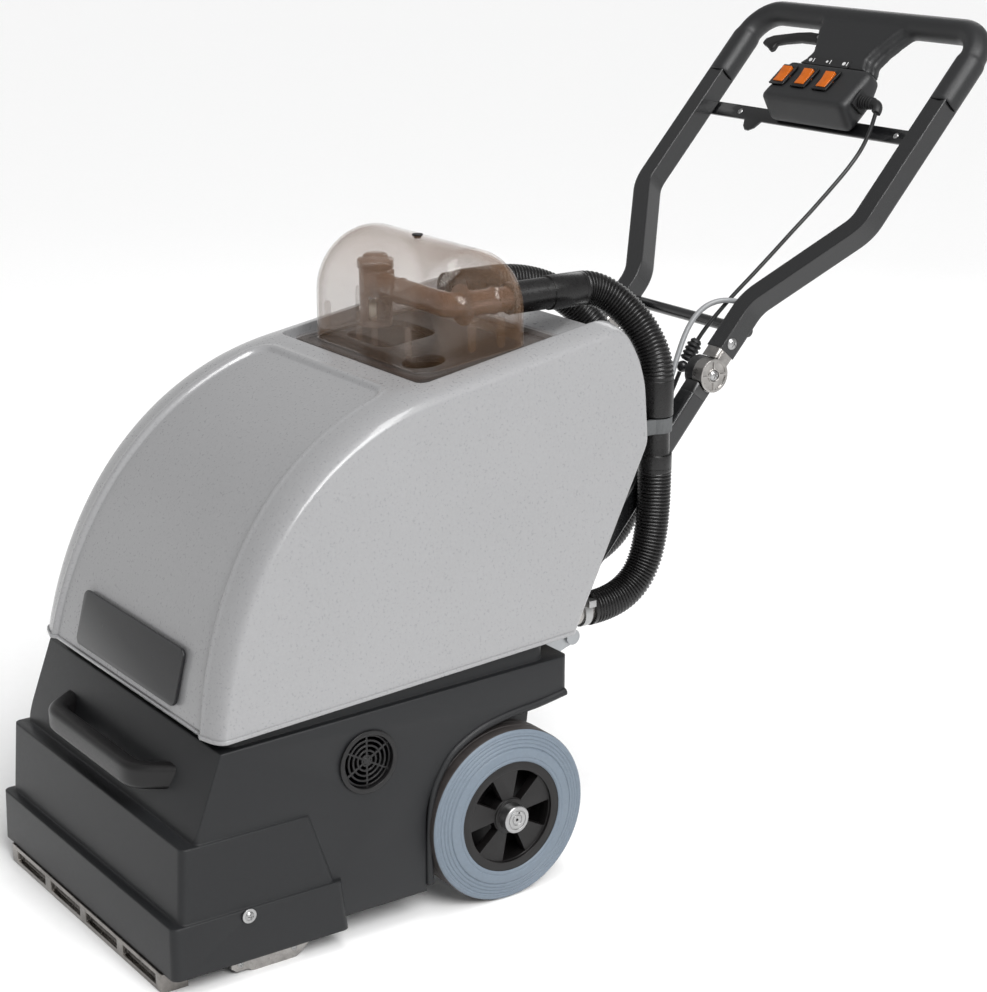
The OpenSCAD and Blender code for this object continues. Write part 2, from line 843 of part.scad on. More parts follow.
module brush_pulley() {
    color("#77797c") from_axle()
        translate([0, brush_y, brush_z]) pulley(brush_pulley_r, shaft_r);
}

module motor_pulley() {
    color("#77797c") from_axle()
        translate([0, motor_y, motor_z]) pulley(motor_pulley_r, 5 + run_gap);
}

// A flat belt round both pulleys: two arcs joined by the outer tangents.
module drive_belt() {
    dy = motor_y - brush_y;
    dz = motor_z - brush_z;
    gap = atan2(dz, dy);
    spread = acos((brush_pulley_r - motor_pulley_r) / norm([dy, dz]));
    color("#1b1b1c") from_axle()
        translate([0, brush_y, brush_z])
            along_x(belt_x - belt_w / 2, belt_x + belt_w / 2)
                difference() {
                    belt_outline(0.3 + belt_t, dy, dz, gap, spread);
                    belt_outline(0.3, dy, dz, gap, spread);
                }
}

module belt_outline(out, dy, dz, gap, spread) {
    polygon(concat(
        arc([0, 0], brush_pulley_r + out, gap + spread, gap + 360 - spread, 40),
        arc([dy, dz], motor_pulley_r + out, gap - spread, gap + spread, 24)
    ));
}

// Brush motor on two feet, its shaft reaching out to the belt.
module brush_motor() {
    x0 = belt_x + 34;
    len = 126;
    color("#4b4e52") from_axle() {
        translate([0, motor_y, motor_z]) {
            rod_x(motor_r, x0, x0 + len);
            rod_x(motor_r - 10, x0 + len, x0 + len + 12);
            rod_x(5, belt_x - belt_w / 2 - 4, x0);
        }
        for (x = [x0 + 14, x0 + len - 34])
            difference() {
                translate([x, motor_y - 24, floor_z]) cube([20, 48, motor_z - floor_z]);
                translate([0, motor_y, motor_z]) rod_x(motor_r, x - 1, x + 21);
            }
    }
}

// Spray pipe across the machine ahead of the brush, with its fan nozzles.
module spray_bar() {
    pipe_r = 4;
    half = deck_half - 48;
    y = deck_front - pipe_r;
    color("#55585b") from_axle()
        translate([0, y, 62]) {
            rod_x(pipe_r, -half, half - 40);
            for (x = [-110, -25, 60])
                translate([x, 0, -14]) {
                    cylinder(r = 3.5, h = 14);
                    translate([0, 0, -4]) cylinder(r1 = 2.5, r2 = 3.5, h = 4);
                }
        }
}

module pump() {
    color("#2f4f6f") from_axle()
        translate([18, -150, floor_z]) {
            cube([52, 60, 50]);
            translate([26, 60, 26]) rod_y(20, 0, 55);
            translate([8, -14, 22]) rod_y(5, 0, 14);
            translate([40, -14, 22]) rod_y(5, 0, 14);
            translate([16, 70, 0]) cube([20, 30, 10]);
        }
}

module vacuum_motor() {
    color("#808386") from_axle()
        translate([-72, -92, floor_z]) {
            cylinder(r = 58, h = 46);
            translate([0, 0, 46]) cylinder(r = 46, h = 70);
            translate([0, 0, 116]) cylinder(r = 30, h = 14);
            translate([0, 52, 24]) rod_y(14, 0, 24);
        }
}

// Suction pipe from the shoe, up inside the front and back under the cover to a rear stub.
module suction_duct() {
    rise_z = base_top - 30;
    stub_end = lower_route[len(lower_route) - 1][1];
    color("#8f8a84") from_axle() {
        hull() {
            translate([duct_x, -shoe_front + 20, duct_foot]) cylinder(r = 7, h = 0.1, $fn = 32);
            translate([duct_x, duct_y, rise_z]) cylinder(r = duct_r, h = 0.1, $fn = 32);
        }
        translate([duct_x, duct_y, rise_z]) cylinder(r = duct_r, h = stub_z - rise_z);
        translate([duct_x, duct_y, stub_z]) sphere(duct_r);
        translate([duct_x, 0, stub_z]) rod_y(duct_r, duct_y, stub_end);
    }
}

// Worm clamp round the end of the suction pipe.
module hose_clamp() {
    band = 10;
    y = 147;
    color("#cfd1d2") from_axle()
        translate([duct_x, y, stub_z]) {
            difference() {
                rod_y(duct_r + 2.5, 0, band);
                rod_y(duct_r, -1, band + 1);
            }
            translate([duct_r - 2, 0, 10]) cube([10, band, 8]);
        }
}

// ---------- cover ----------

// Side view of the cover, clockwise from its lower front corner.
function cover_profile() = let (f = -cover_front, rear = 217)
    concat(
        [[f - 8, 190]],
        [for (i = [0 : 16]) bezier(
            [[f, 250], [f + 25, 432], [-231, cover_top - 25], [-60, cover_top]], i / 16)],
        arc([164, cover_top], 39, 96, 30, 5),
        [[209, cover_top - 3], [rear - 1, cover_top - 32], [rear, 486], [188, 440], [89, 279], [50, 190]]
    );

// Solid of the cover: slices of the side view, smaller towards the sides, leaned in by the taper.
module cover_solid(inset) {
    steps = 5;
    hull() {
        for (side = [-1, 1], k = [0 : steps]) {
            phi = 90 * k / steps;
            x = cover_w / 2 - cover_roll + cover_roll * sin(phi) - inset;
            multmatrix([
                [1, 0, -side * cover_taper / 100, side * cover_taper / 100 * cover_z],
                [0, 1, 0, 0],
                [0, 0, 1, 0]
            ])
                translate([side * x, 0, 0])
                    along_x(-0.05, 0.05)
                        offset(delta = -inset - roll_depth * (1 - cos(phi)))
                            polygon(cover_profile());
        }
    }
}

// The channel in the cover's top, open at the rear; grow adds the wall below and beside it.
module well(grow) {
    on_deck()
        slab(well_w / 2 + grow, well_front - grow, 400, -grow, 300, 12);
}

module cover_shell() {
    color("#b3b5b8") from_axle() difference() {
        difference() {
            cover_solid(0);
            well(0);
        }
        difference() {
            cover_solid(cover_wall);
            well(cover_wall);
        }
        translate([-300, -500, 0])
            rotate([cover_slope, 0, 0])
                translate([0, 0, cover_z - 155 * tan(cover_slope) - 200]) cube([600, 900, 200]);
        on_deck() slab(tank_half + free_gap, tank_front - free_gap, tank_rear + free_gap, -40, 40, 14);
        translate([duct_x, 0, stub_z]) rod_y(duct_r + free_gap, 0, 200);
        translate(tail_route[len(tail_route) - 1]) rod_y(cable_d / 2 + free_gap, -20, 20);
        translate(far_route[len(far_route) - 1]) rod_y(hose_d / 2 + free_gap, -60, 60);
        badge_block();
    }
}

// Space for the badge plate in the cover's front face.
module badge_block() {
    plate_t = 3;
    lean = 14;
    translate([badge_x, -cover_front + 11, 309])
        rotate([90 - lean, 0, 0])
            translate([0, 0, -plate_t]) linear_extrude(plate_t + 1) rounded(badge_w, 62, 9);
}

badge_x = 4;
badge_w = 236;

module badge_plate() {
    color("#3b4046") from_axle() badge_block();
}

// ---------- recovery tank and dome ----------

// Solid of the tank below the deck, its bottom cut back where the cover slopes in behind it.
module tank_body(inset) {
    foot = 50;
    depth = tank_depth - 2 * inset;
    rear = tank_rear - inset;
    intersection() {
        slab(tank_half - inset, tank_front + inset, rear, -depth, 0, 14 - inset);
        along_x(-tank_half - 1, tank_half + 1)
            polygon([
                [tank_front - 1, 1], [rear + 1, 1], [rear + 1, foot - depth + 1],
                [rear - foot - 1, -depth - 1], [tank_front - 1, -depth - 1]
            ]);
    }
}

module recovery_tank() {
    edge = 10;
    color("#2a2b2d") from_axle() on_deck() difference() {
        union() {
            tank_body(0);
            slab(tank_half + edge, tank_front - edge, tank_rear + edge - 4, 0, rim_t, 14);
        }
        translate([0, 0, -tank_wall]) tank_body(tank_wall);
        translate([-62, 66, -20]) linear_extrude(60) rounded(92, 76, 16);
        translate([62, 30, -20]) cylinder(r = 24, h = 60);
    }
}

// A flat gasket between the tank's rim and the dome's flange.
module dome_seal() {
    edge = 6;
    color("#141414") from_axle() on_deck()
        translate([0, 0, rim_t]) difference() {
            slab(tank_half + edge, tank_front - edge, tank_rear + edge - 4, 0, seal_t, 14);
            slab(tank_half - 4, tank_front + 4, tank_rear - 8, -1, seal_t + 1, 10);
        }
}

seal_t = 2;
flange_z = rim_t + seal_t;

// Upright walls under a round top, with rolled ends and rounded corners in plan.
module dome_solid(inset) {
    roll = 26 - inset;
    half = dome_w / 2 - inset;
    r = dome_l / 2 - inset;
    top = flange_top + dome_h;
    intersection() {
        slab(half, dome_y + inset, dome_y + dome_l - inset, flange_top - 14, top, roll);
        along_x(-dome_w, dome_w) translate([dome_y + dome_l / 2, 0]) {
            translate([-r, flange_top - 20]) square([2 * r, dome_h - dome_l / 2 + 20]);
            translate([0, top - dome_l / 2]) circle(r);
        }
        rotate([90, 0, 0]) translate([0, 0, -2 * dome_l]) linear_extrude(3 * dome_l) {
            translate([-half, flange_top - 20]) square([2 * half, dome_h + 20 - inset - roll]);
            translate([roll - half, flange_top]) square([2 * (half - roll), dome_h - inset]);
            for (side = [-1, 1]) translate([side * (half - roll), top - inset - roll]) circle(roll);
        }
    }
}

dome_y = -46;
flange_top = deck_z + flange_z;

module dome() {
    color("#b59a86", 0.45) from_axle() difference() {
        union() {
            dome_solid(0);
            on_deck() translate([0, 0, flange_z])
                slab(tank_half + 6, tank_front - 6, tank_rear + 2, 0, dome_wall, 12);
        }
        dome_solid(dome_wall);
        on_deck() translate([-200, -100, flange_z - 40]) cube([400, 400, 40]);
        for (p = [upper_route[0], far_route[0]])
            translate([p[0], 0, p[2]]) rod_y(cuff_r, dome_y + dome_l / 2, dome_y + 2 * dome_l);
        translate([0, dome_y + dome_l / 2, flange_top + dome_h - 10]) cylinder(r = 4, h = 20);
    }
}

cuff_r = hose_d / 2 - 1.5;
module dome_plug() {
    color("#161616") from_axle()
        translate([0, dome_y + dome_l / 2, flange_top + dome_h - dome_wall]) {
            cylinder(r = 4, h = dome_wall);
            translate([0, 0, dome_wall]) cylinder(r = 6, h = 2);
        }
}

cuff_in = 88;

// Smooth cuffs through the dome's rear wall, each with a stop ring outside.
module hose_cuffs() {
    color("#121213") from_axle()
        for (p = [upper_route[0], far_route[0]])
            translate([p[0], 0, p[2]]) {
                rod_y(cuff_r, cuff_in, p[1]);
                rod_y(cuff_r + 1.5, p[1] - 44, p[1]);
            }
}

// Pipe inside the dome: in from the right-hand cuff, then across to the float valve.
module inlet_pipe() {
    x = upper_route[0][0];
    z = upper_route[0][2];
    y = 14;
    r = 14;
    color("#7a5a44") from_axle() {
        translate([x, 0, z]) rod_y(r, y, cuff_in);
        translate([x, y, z]) sphere(r);
        translate([x, 0, z]) rod_y(r + 9, y + 12, y + 15);
        translate([0, y, z]) rod_x(r, cage_x + cage_r + 2, x);
    }
}

cage_x = -70;
cage_r = 19;
ball_r = 13;
cage_z = deck_z + 22;

// Slotted cage that guides the float ball up to the air outlet.
module float_cage() {
    h = 66;
    color("#4a3a30") from_axle()
        translate([cage_x, 14, cage_z])
            difference() {
                union() {
                    cylinder(r = cage_r, h = h);
                    translate([0, -12, h - 34]) cube([cage_r + 2, 24, 34]);
                }
                translate([0, 0, 3]) cylinder(r = ball_r + free_gap, h = h - 6);
                for (a = [45, 135])
                    rotate(a) translate([-30, -5, 8]) cube([60, 10, 28]);
            }
}

module float_ball() {
    color("#d8cfc0") from_axle()
        translate([cage_x, 14, cage_z + 3 + free_gap + ball_r]) sphere(ball_r);
}

// ---------- hoses ----------

module upper_hose() {
    color("#19191a") from_axle() swept(upper_route, hose_d, 12);
}

module lower_hose() {
    color("#19191a") from_axle() swept(lower_route, hose_d, 12);
}

module far_hose() {
    color("#19191a") from_axle() swept(far_route, hose_d, 12);
}

// Smooth joint between the two stretches of the near hose: a wide cuff over a narrower neck.
module hose_coupling() {
    neck_r = hose_d / 2 - 3;
    cuff = 42;
    foot = 16;
    low = lower_route[0];
    high = upper_route[len(upper_route) - 1];
    color("#121213") from_axle() translate(low) {
        cylinder(r = hose_d / 2, h = foot);
        cylinder(r = neck_r, h = high[2] - low[2]);
        translate([0, 0, high[2] - low[2] - cuff]) cylinder(r = hose_d / 2 + 0.5, h = cuff);
    }
}

// Grey strap that holds the coupling's neck to the cover's rear.
module hose_strap() {
    neck_r = hose_d / 2 - 3;
    band = 2.5;
    h = 17;
    low = lower_route[0];
    cover_face = 217.5;
    z = 484;
    color("#5a5c5e") from_axle() difference() {
        union() {
            translate([low[0], low[1], z]) cylinder(r = neck_r + band, h = h);
            translate([low[0] - 15, cover_face, z]) cube([30, low[1] - cover_face, h]);
        }
        translate([low[0], low[1], z - 1]) cylinder(r = neck_r, h = h + 2);
        translate([low[0] - 11, cover_face + 4, z - 1]) cube([22, 20, h + 2]);
    }
}

// ---------- handle ----------

module tube_section() {
    bore = tube_w - 2 * tube_wall;
    difference() {
        rounded(tube_w, tube_w, 4);
        rounded(bore, bore, 4 - tube_wall);
    }
}

// Lower tube, from the hinge's socket down to the foot shaft.
module lower_tube() {
    color("#343537") from_axle() on_frame()
        difference() {
            translate([leg_x, -leg_foot, 0]) run(leg_foot - socket_s) tube_section();
            translate([0, shaft_s, shaft_n]) rod_x(frame_shaft_r, 0, 200);
        }
}

module lower_tube_right() { lower_tube(); }
module lower_tube_left() { mirror([1, 0, 0]) lower_tube(); }

// Upper tube: straight, flared out by two bends, then straight into the grip.
module upper_tube() {
    color("#343537") from_axle() on_handle()
        difference() {
            leg(tube_half, 0);
            leg(tube_half - tube_wall, 1);
        }
}

// The solid form of an upper tube, h to each side of its middle line.
module leg(h, extra) {
    translate([0, 0, -h]) linear_extrude(2 * h) leg_outline(h, extra);
}

// Plan of an upper tube, h to each side of its middle line, its ends drawn out by extra.
module leg_outline(h, extra) {
    t = bend_r * tan(leg_bend / 2);
    low = [leg_x + bend_r, bend_low - t];
    high = [grip_x - bend_r, bend_high + t];
    n = 8;
    polygon(concat(
        [[leg_x - h, socket_s - extra]],
        arc(low, bend_r + h, 180, 180 - leg_bend, n),
        arc(high, bend_r - h, -leg_bend, 0, n),
        [[grip_x - h, tube_end + extra], [grip_x + h, tube_end + extra]],
        arc(high, bend_r + h, 0, -leg_bend, n),
        arc(low, bend_r - h, 180 - leg_bend, 180, n),
        [[leg_x + h, socket_s - extra]]
    ));
}

tube_end = bar_s - 46;

module upper_tube_right() { upper_tube(); }
module upper_tube_left() { mirror([1, 0, 0]) upper_tube(); }

// A hinge half: its disc between x0 and x1, and an arm and plug that fill the tube's end.
module hinge_half(x0, x1, way, bore) {
    plug = tube_w - 2 * tube_wall - 0.2;
    difference() {
        union() {
            rod_x(hinge_r, x0, x1);
            scale([1, way, 1]) {
                difference() {
                    translate([leg_x, 0, 0]) run(socket_s) rounded(tube_w, tube_w, 4);
                    rod_x(hinge_r + 1, 0, 300);
                }
                translate([x0, 0, -8]) cube([x1 - x0, socket_s - 1, 16]);
                translate([leg_x, socket_s, 0]) run(24) rounded(plug, plug, 2);
            }
        }
        rod_x(bore, 0, 300);
    }
}

module hinge_lower_halves() {
    color("#4a4b4c") from_axle() on_frame() both_sides()
        hinge_half(hinge_back, hinge_mid - 0.15, -1, bolt_r + run_gap);
}

// The outer halves are die-cast, with a raised rim, hub and four ribs.
module hinge_upper_halves() {
    relief_t = 1.6;
    color("#b7b5b0") from_axle() on_handle() both_sides() {
        hinge_half(hinge_mid + 0.15, hinge_face, 1, bolt_r);
        translate([hinge_face, 0, 0]) rotate([0, 90, 0]) linear_extrude(relief_t) difference() {
            union() {
                difference() {
                    circle(hinge_r);
                    circle(hinge_r - 3);
                }
                circle(8.5);
                for (a = [0 : 90 : 270])
                    rotate(a - handle_angle) translate([0, -1.3]) square([hinge_r - 1, 2.6]);
            }
            circle(bolt_r + 3);
        }
    }
}

// Hinge bolts, tube screws, crossbar screws and the trigger's pin.
module handle_fasteners() {
    color("#cfd1d3") from_axle() on_handle() {
        both_sides() {
            rod_x(bolt_r, hinge_back - 3, hinge_face);
            rod_x(bolt_r + 3, hinge_back - 7, hinge_back - free_gap);
            translate([hinge_face, 0, 0]) cross_head(bolt_r + 2.5);
            translate([leg_x + tube_half, 44, 2]) cross_head(7);
            translate([screw_x, crossbar_s, crossbar_n]) rotate([0, -90, 0]) cross_head(4);
        }
        translate([trigger_pin[0], trigger_pin[1], web_low]) cylinder(r = 2.5, h = web_top - web_low - 2);
    }
}

screw_x = 141;

// Round bar behind the two upper tubes, just above the hinges.
module lower_crossbar() {
    s = 74;
    r = 7;
    color("#2c2d2f") from_axle() on_handle()
        translate([0, s, -tube_half - r]) rod_x(r, -leg_x, leg_x);
}

// Flat bar behind the upper tubes, on two spacers, with the cable hook below it.
module upper_crossbar() {
    h = 20;
    t = 3;
    color("#2c2d2f") from_axle() on_handle() {
        translate([-grip_x - 6, crossbar_s - h / 2, crossbar_n - t])
            cube([2 * grip_x + 12, h, t]);
        both_sides()
            translate([grip_x - 6, crossbar_s - h / 2, crossbar_n])
                cube([12, h, -crossbar_n - tube_half]);
        translate([-112, crossbar_s - h / 2, crossbar_n - t])
            linear_extrude(t) polygon([[-14, 1], [18, 1], [12, -10], [4, -15], [-2, -15], [-8, -10]]);
    }
}

// ---------- grip and switches ----------

module grip_section() {
    rounded(2 * bar_r + 4, 2 * bar_r, bar_r - 1.5);
}

// Moulded D-shaped grip: sleeves over both tubes, a top bar and a web down to the switch box.
module grip() {
    turn = 40;
    rise = bar_s - turn - sleeve_start;
    color("#3b3c3f") from_axle() on_handle() difference() {
        union() {
            translate([-grip_x, sleeve_start, 0]) {
                run(rise) grip_section();
                translate([0, rise, 0]) {
                    bend(turn, 90) bar_section();
                    after_bend(turn, 90) {
                        run(2 * (grip_x - turn)) bar_section();
                        translate([0, 2 * (grip_x - turn), 0]) bend(turn, 90) bar_section();
                    }
                }
            }
            translate([grip_x, sleeve_start, 0]) run(rise) grip_section();
            translate([0, 0, web_mid]) linear_extrude(web_top - web_mid) web_outline(0);
            translate([0, 0, web_low]) linear_extrude(web_mid - web_low) web_outline(10);
        }
        both_sides() leg(tube_half, 0.1);
        trigger_slot();
    }
}

web_low = -8;
web_mid = 5;
web_top = 14;

// Outline of the web between the switch box and the top bar; out widens its right-hand side.
module web_outline(out) {
    low = box_high[0] + 0.5;
    polygon([
        [-60, low], [58 + out, low], [50 + out, 448], [56 + out, 466], [66 + out, 482],
        [84 + out, bar_s], [-78, bar_s], [-64, 494], [-62, 482], [-52, 462], [-46, 450], [-50, 440]
    ]);
}

module bar_section() {
    circle(bar_r);
}

// Room for the trigger's root in the web's left edge, with its pin hole.
module trigger_slot() {
    translate([-100, 458, trigger_n - free_gap])
        linear_extrude(trigger_t + 2 * free_gap)
            polygon([[0, 0], [50, -2], [54, 8], [54, 28], [40, 36], [0, 36]]);
    translate([trigger_pin[0], trigger_pin[1], web_low]) cylinder(r = 2.5, h = web_top - web_low - 2);
}

trigger_n = 1;
trigger_t = 8;

// Lever under the left-hand grip, with a hooked tip.
module trigger_lever() {
    color("#232325") from_axle() on_handle()
        translate([0, 0, trigger_n]) linear_extrude(trigger_t) difference() {
            union() {
                translate(trigger_pin) circle(7);
                polygon([
                    [-56, 467], [-56, 481], [-79, 482], [-100, 479.5], [-140, 471], [-151, 465],
                    [-152, 457], [-140, 453], [-132, 448], [-127, 451], [-127, 459],
                    [-114, 462.5], [-89, 467]
                ]);
            }
            translate(trigger_pin) circle(2.5 + run_gap);
        }
}

// Wedge-shaped box below the web: its rocker face is tipped back from the handle's plane.
module box_solid(inset) {
    chamfer = 7;
    hull()
        for (side = [-1, 1])
            for (k = [0, 1])
                translate([side * (box_w / 2 - inset - (k == 0 ? chamfer : 0)), 0, 0])
                    along_x(-0.05, 0.05)
                        offset(delta = -inset - (k == 0 ? 0 : chamfer * 0.6))
                            polygon([
                                [box_low[0], box_low[1] - 5], box_low, box_ridge, box_high,
                                [box_high[0], -8], [box_high[0] - 30, -17]
                            ]);
}

module switch_box() {
    color("#3b3c3f") from_axle() {
        difference() {
            on_handle() box_solid(0);
            on_handle() box_solid(3);
            on_face() for (k = [-1 : 1])
                translate([rocker_row + k * rocker_pitch, rocker_mid, 0])
                    cube([rocker_w + 5, rocker_l + 5, 30], center = true);
            on_handle() translate([0, relief_s, relief_n]) rod_x(6, 50, 100);
        }
    }
}

relief_s = 392;
relief_n = 6;

// Black frames in the box's face, one round each rocker.
module switch_bezels() {
    lip = 2.4;
    color("#0f0f10") from_axle() on_face() for (k = [-1 : 1])
        translate([rocker_row + k * rocker_pitch, rocker_mid, 0])
            difference() {
                union() {
                    translate([-bezel_w / 2, -bezel_l / 2, 0]) cube([bezel_w, bezel_l, lip]);
                    translate([-(rocker_w + 5) / 2, -(rocker_l + 5) / 2, -12])
                        cube([rocker_w + 5, rocker_l + 5, 12]);
                }
                translate([-(rocker_w + 1) / 2, -(rocker_l + 1.6) / 2, -11])
                    cube([rocker_w + 1, rocker_l + 1.6, 20]);
                rod_x(pin_r + run_gap, -bezel_w, bezel_w);
            }
}

// A rocker cap about its pivot, resting with its lower end down.
module rocker(k) {
    half = rocker_l / 2;
    color("#d9660f") from_axle() on_face()
        translate([rocker_row + k * rocker_pitch, rocker_mid, 0])
            rotate([rocker_tilt, 0, 0]) {
                rod_x(pin_r, -rocker_w / 2 - 2, rocker_w / 2 + 2);
                along_x(-rocker_w / 2, rocker_w / 2)
                    polygon([
                        [-half, 4.6], [-half * 0.2, 3.4], [half * 0.2, 3.4], [half, 4.6],
                        [half - 0.6, 0], [6, -5], [-6, -5], [-half + 0.6, 0]
                    ]);
            }
}

module rocker_left() { rocker(-1); }
module rocker_middle() { rocker(0); }
module rocker_right() { rocker(1); }

// Ribbed boots: one carries the cable out of the box's side, the other ends it at the hinges.
module strain_reliefs() {
    turn = 12;
    x0 = box_w / 2 + free_gap;
    out = cable_route[0][0] - turn - x0;
    last = len(cable_route) - 1;
    low = cable_route[last - 1];
    tip = [low + [1, 9, 2], low, cable_route[last] + [0, 0.5, 0]];
    color("#151516") from_axle() on_handle() {
        translate([x0, relief_s, relief_n]) {
            translate([0, -11, -11]) cube([3, 22, 22]);
            rod_x(6, -box_wall - free_gap, out);
            for (k = [0 : 4]) translate([4 + 4 * k, 0, 0]) rod_x(9 - 0.4 * k, 0, 2.4);
            translate([out, -turn, 0]) rotate_extrude(angle = 90) translate([turn, 0]) circle(6);
        }
        difference() {
            swept(tip, 13, 12);
            swept(cable_route, cable_d, 8);
        }
    }
}

box_wall = 3;

module control_cable() {
    color("#1c1c1d") from_axle() on_handle() swept(cable_route, cable_d, 8);
}

// Fixed end of the cable, from a ball on the hinges' axis into the cover's rear.
module cable_tail() {
    knuckle_r = 7;
    color("#151516") from_axle() {
        translate([tail_route[0][0], hinge_y, hinge_z]) sphere(knuckle_r);
        swept(tail_route, cable_d, 8);
    }
}

module solution_line() {
    color("#8a8c8e") from_axle() swept(line_route, line_d, 8, [0.3, 1, 0.2]);
}

base_housing();
chassis();
carry_handle();
side_vents();
body_screws();
vacuum_shoe();
suction_duct();
brush_deck();
brush_motor();
drive_belt();
spray_bar();
pump();
vacuum_motor();
axle();
axle_caps();
tyre_right();
tyre_left();
hub_right();
hub_left();
brush_roller();
brush_shaft();
brush_pulley();
motor_pulley();
cover_shell();
badge_plate();
recovery_tank();
dome();
dome_seal();
dome_plug();
inlet_pipe();
hose_cuffs();
float_cage();
float_ball();
upper_hose();
far_hose();
lower_hose();
hose_coupling();
hose_strap();
hose_clamp();
lower_tube_right();
lower_tube_left();
hinge_lower_halves();
frame_shaft();
upper_tube_right();
upper_tube_left();
hinge_upper_halves();
handle_fasteners();
lower_crossbar();
upper_crossbar();
grip();
switch_box();
switch_bezels();
rocker_left();
rocker_middle();
rocker_right();
trigger_lever();
strain_reliefs();
control_cable();
cable_tail();
solution_line();
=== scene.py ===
"""Looks of a walk-behind carpet cleaner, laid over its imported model.

Lengths are metres in the model's own frame: X across, Y to the rear, Z up, with the floor at
z = 0. Places that repeat the part's source are written in millimetres, from the wheel axle
(axle_frame), in the folding handle's plane (handle_frame) or along the cover's deck (deck_frame).
"""
import json
import logging
import math
from dataclasses import dataclass
from enum import Enum
from typing import Iterable, Optional, Sequence, Tuple, Union

import bmesh
import bpy
import numpy as np
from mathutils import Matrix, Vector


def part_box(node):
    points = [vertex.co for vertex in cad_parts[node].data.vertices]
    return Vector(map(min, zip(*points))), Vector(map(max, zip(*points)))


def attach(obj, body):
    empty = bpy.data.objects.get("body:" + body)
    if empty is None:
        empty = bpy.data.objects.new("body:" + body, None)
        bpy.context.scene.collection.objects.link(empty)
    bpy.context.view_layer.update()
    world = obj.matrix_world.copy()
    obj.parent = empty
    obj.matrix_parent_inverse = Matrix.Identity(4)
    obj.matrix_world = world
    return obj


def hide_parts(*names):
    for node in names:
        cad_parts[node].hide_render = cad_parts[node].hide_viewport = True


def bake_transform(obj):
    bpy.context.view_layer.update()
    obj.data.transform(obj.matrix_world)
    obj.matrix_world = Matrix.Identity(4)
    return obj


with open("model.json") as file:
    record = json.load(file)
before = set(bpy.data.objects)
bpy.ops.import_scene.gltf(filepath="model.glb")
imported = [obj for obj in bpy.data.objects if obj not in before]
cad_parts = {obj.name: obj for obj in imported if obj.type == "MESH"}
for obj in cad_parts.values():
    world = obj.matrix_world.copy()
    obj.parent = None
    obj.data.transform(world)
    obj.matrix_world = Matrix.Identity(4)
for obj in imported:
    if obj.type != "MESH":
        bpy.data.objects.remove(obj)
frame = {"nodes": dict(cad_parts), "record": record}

LOG = logging.getLogger("carpet_cleaner")
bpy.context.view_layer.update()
MM = 0.001
HANDLE_ANGLE = 48.0  # slope of the handle's plane, in degrees
DECK_SLOPE = 6.5  # slope of the cover's deck, in degrees
HINGE = (358.0, 530.0)  # y and z of the folding hinges' axis, in millimetres from the axle
DECK = (-37.0, 578.0)  # y and z of the deck's origin, in millimetres from the axle
Array = np.ndarray
Pair = Tuple[float, float]
Triple = Tuple[float, float, float]
Colour = Triple


# ---------- places ----------


def axle_offset() -> float:
    """Distance in metres from the model's origin back to the wheel axle."""
    low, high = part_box("axle")
    return (low[1] + high[1]) / 2


AXLE_Y = axle_offset()


def axle_frame(points: Iterable) -> Array:
    """Millimetres from the axle, in metres in the model's frame.

    Args:
        points: rows of x, y and z in millimetres from the axle.

    Returns:
        The same points, scaled to metres and moved along Y to the axle's place.
    """
    p = np.array(points, float) * MM
    p[..., 1] += AXLE_Y
    return p


def tilted(points: Iterable, origin: Pair, angle: float) -> Array:
    """Rows of x, s and n in a plane tipped back by angle degrees about X, in metres.

    Args:
        points: distances in millimetres across, along and out of the plane.
        origin: y and z of the plane's origin, in millimetres from the axle.
        angle: slope of the plane's s direction above the level, in degrees.

    Returns:
        The same points in the model's frame.
    """
    p = np.array(points, float)
    c, s = math.cos(math.radians(angle)), math.sin(math.radians(angle))
    y = origin[0] + p[..., 1] * c - p[..., 2] * s
    z = origin[1] + p[..., 1] * s + p[..., 2] * c
    return axle_frame(np.stack([p[..., 0], y, z], axis=-1))


def handle_frame(points: Iterable) -> Array:
    """Points in the folding handle's plane, in metres in the model's frame."""
    return tilted(points, HINGE, HANDLE_ANGLE)


def deck_frame(points: Iterable) -> Array:
    """Points along the cover's deck, in metres in the model's frame."""
    return tilted(points, DECK, DECK_SLOPE)


# ---------- curves ----------


def bezier(p: Sequence, n: int) -> Array:
    """A cubic curve: its four control points weighted by the Bernstein sums.

    Args:
        p: the four control points.
        n: number of steps.

    Returns:
        n + 1 points of the curve.
    """
    t = np.linspace(0, 1, n + 1)[:, None]
    a, b, c, d = (np.array(q, float) for q in p)
    return (1 - t) ** 3 * a + 3 * (1 - t) ** 2 * t * b + 3 * (1 - t) * t * t * c + t ** 3 * d


def circle(n: int) -> Array:
    """n equal steps round a circle, in radians."""
    return np.linspace(0, 2 * math.pi, n, endpoint=False)


def arc(centre: Sequence[float], r: float, a0: float, a1: float, n: int) -> Array:
    """n + 1 points of a circle in a plane, from a0 to a1 degrees."""
    a = np.radians(np.linspace(a0, a1, n + 1))
    return np.stack([centre[0] + r * np.cos(a), centre[1] + r * np.sin(a)], axis=1)


def resampled(path: Array, step: float) -> Array:
    """Points at equal steps along a polyline, its two ends kept.

    Args:
        path: points of the polyline.
        step: wanted distance between points.

    Returns:
        The new points, placed by linear interpolation over the distance along.
    """
    path = np.asarray(path, float)
    s = lengths(path)
    t = np.linspace(0, s[-1], max(2, int(round(s[-1] / step)) + 1))
    return np.stack([np.interp(t, s, path[:, k]) for k in range(path.shape[1])], axis=1)


def lengths(path: Array) -> Array:
    """Distance along a polyline at each of its points."""
    return np.concatenate([[0], np.cumsum(np.linalg.norm(np.diff(path, axis=0), axis=1))])


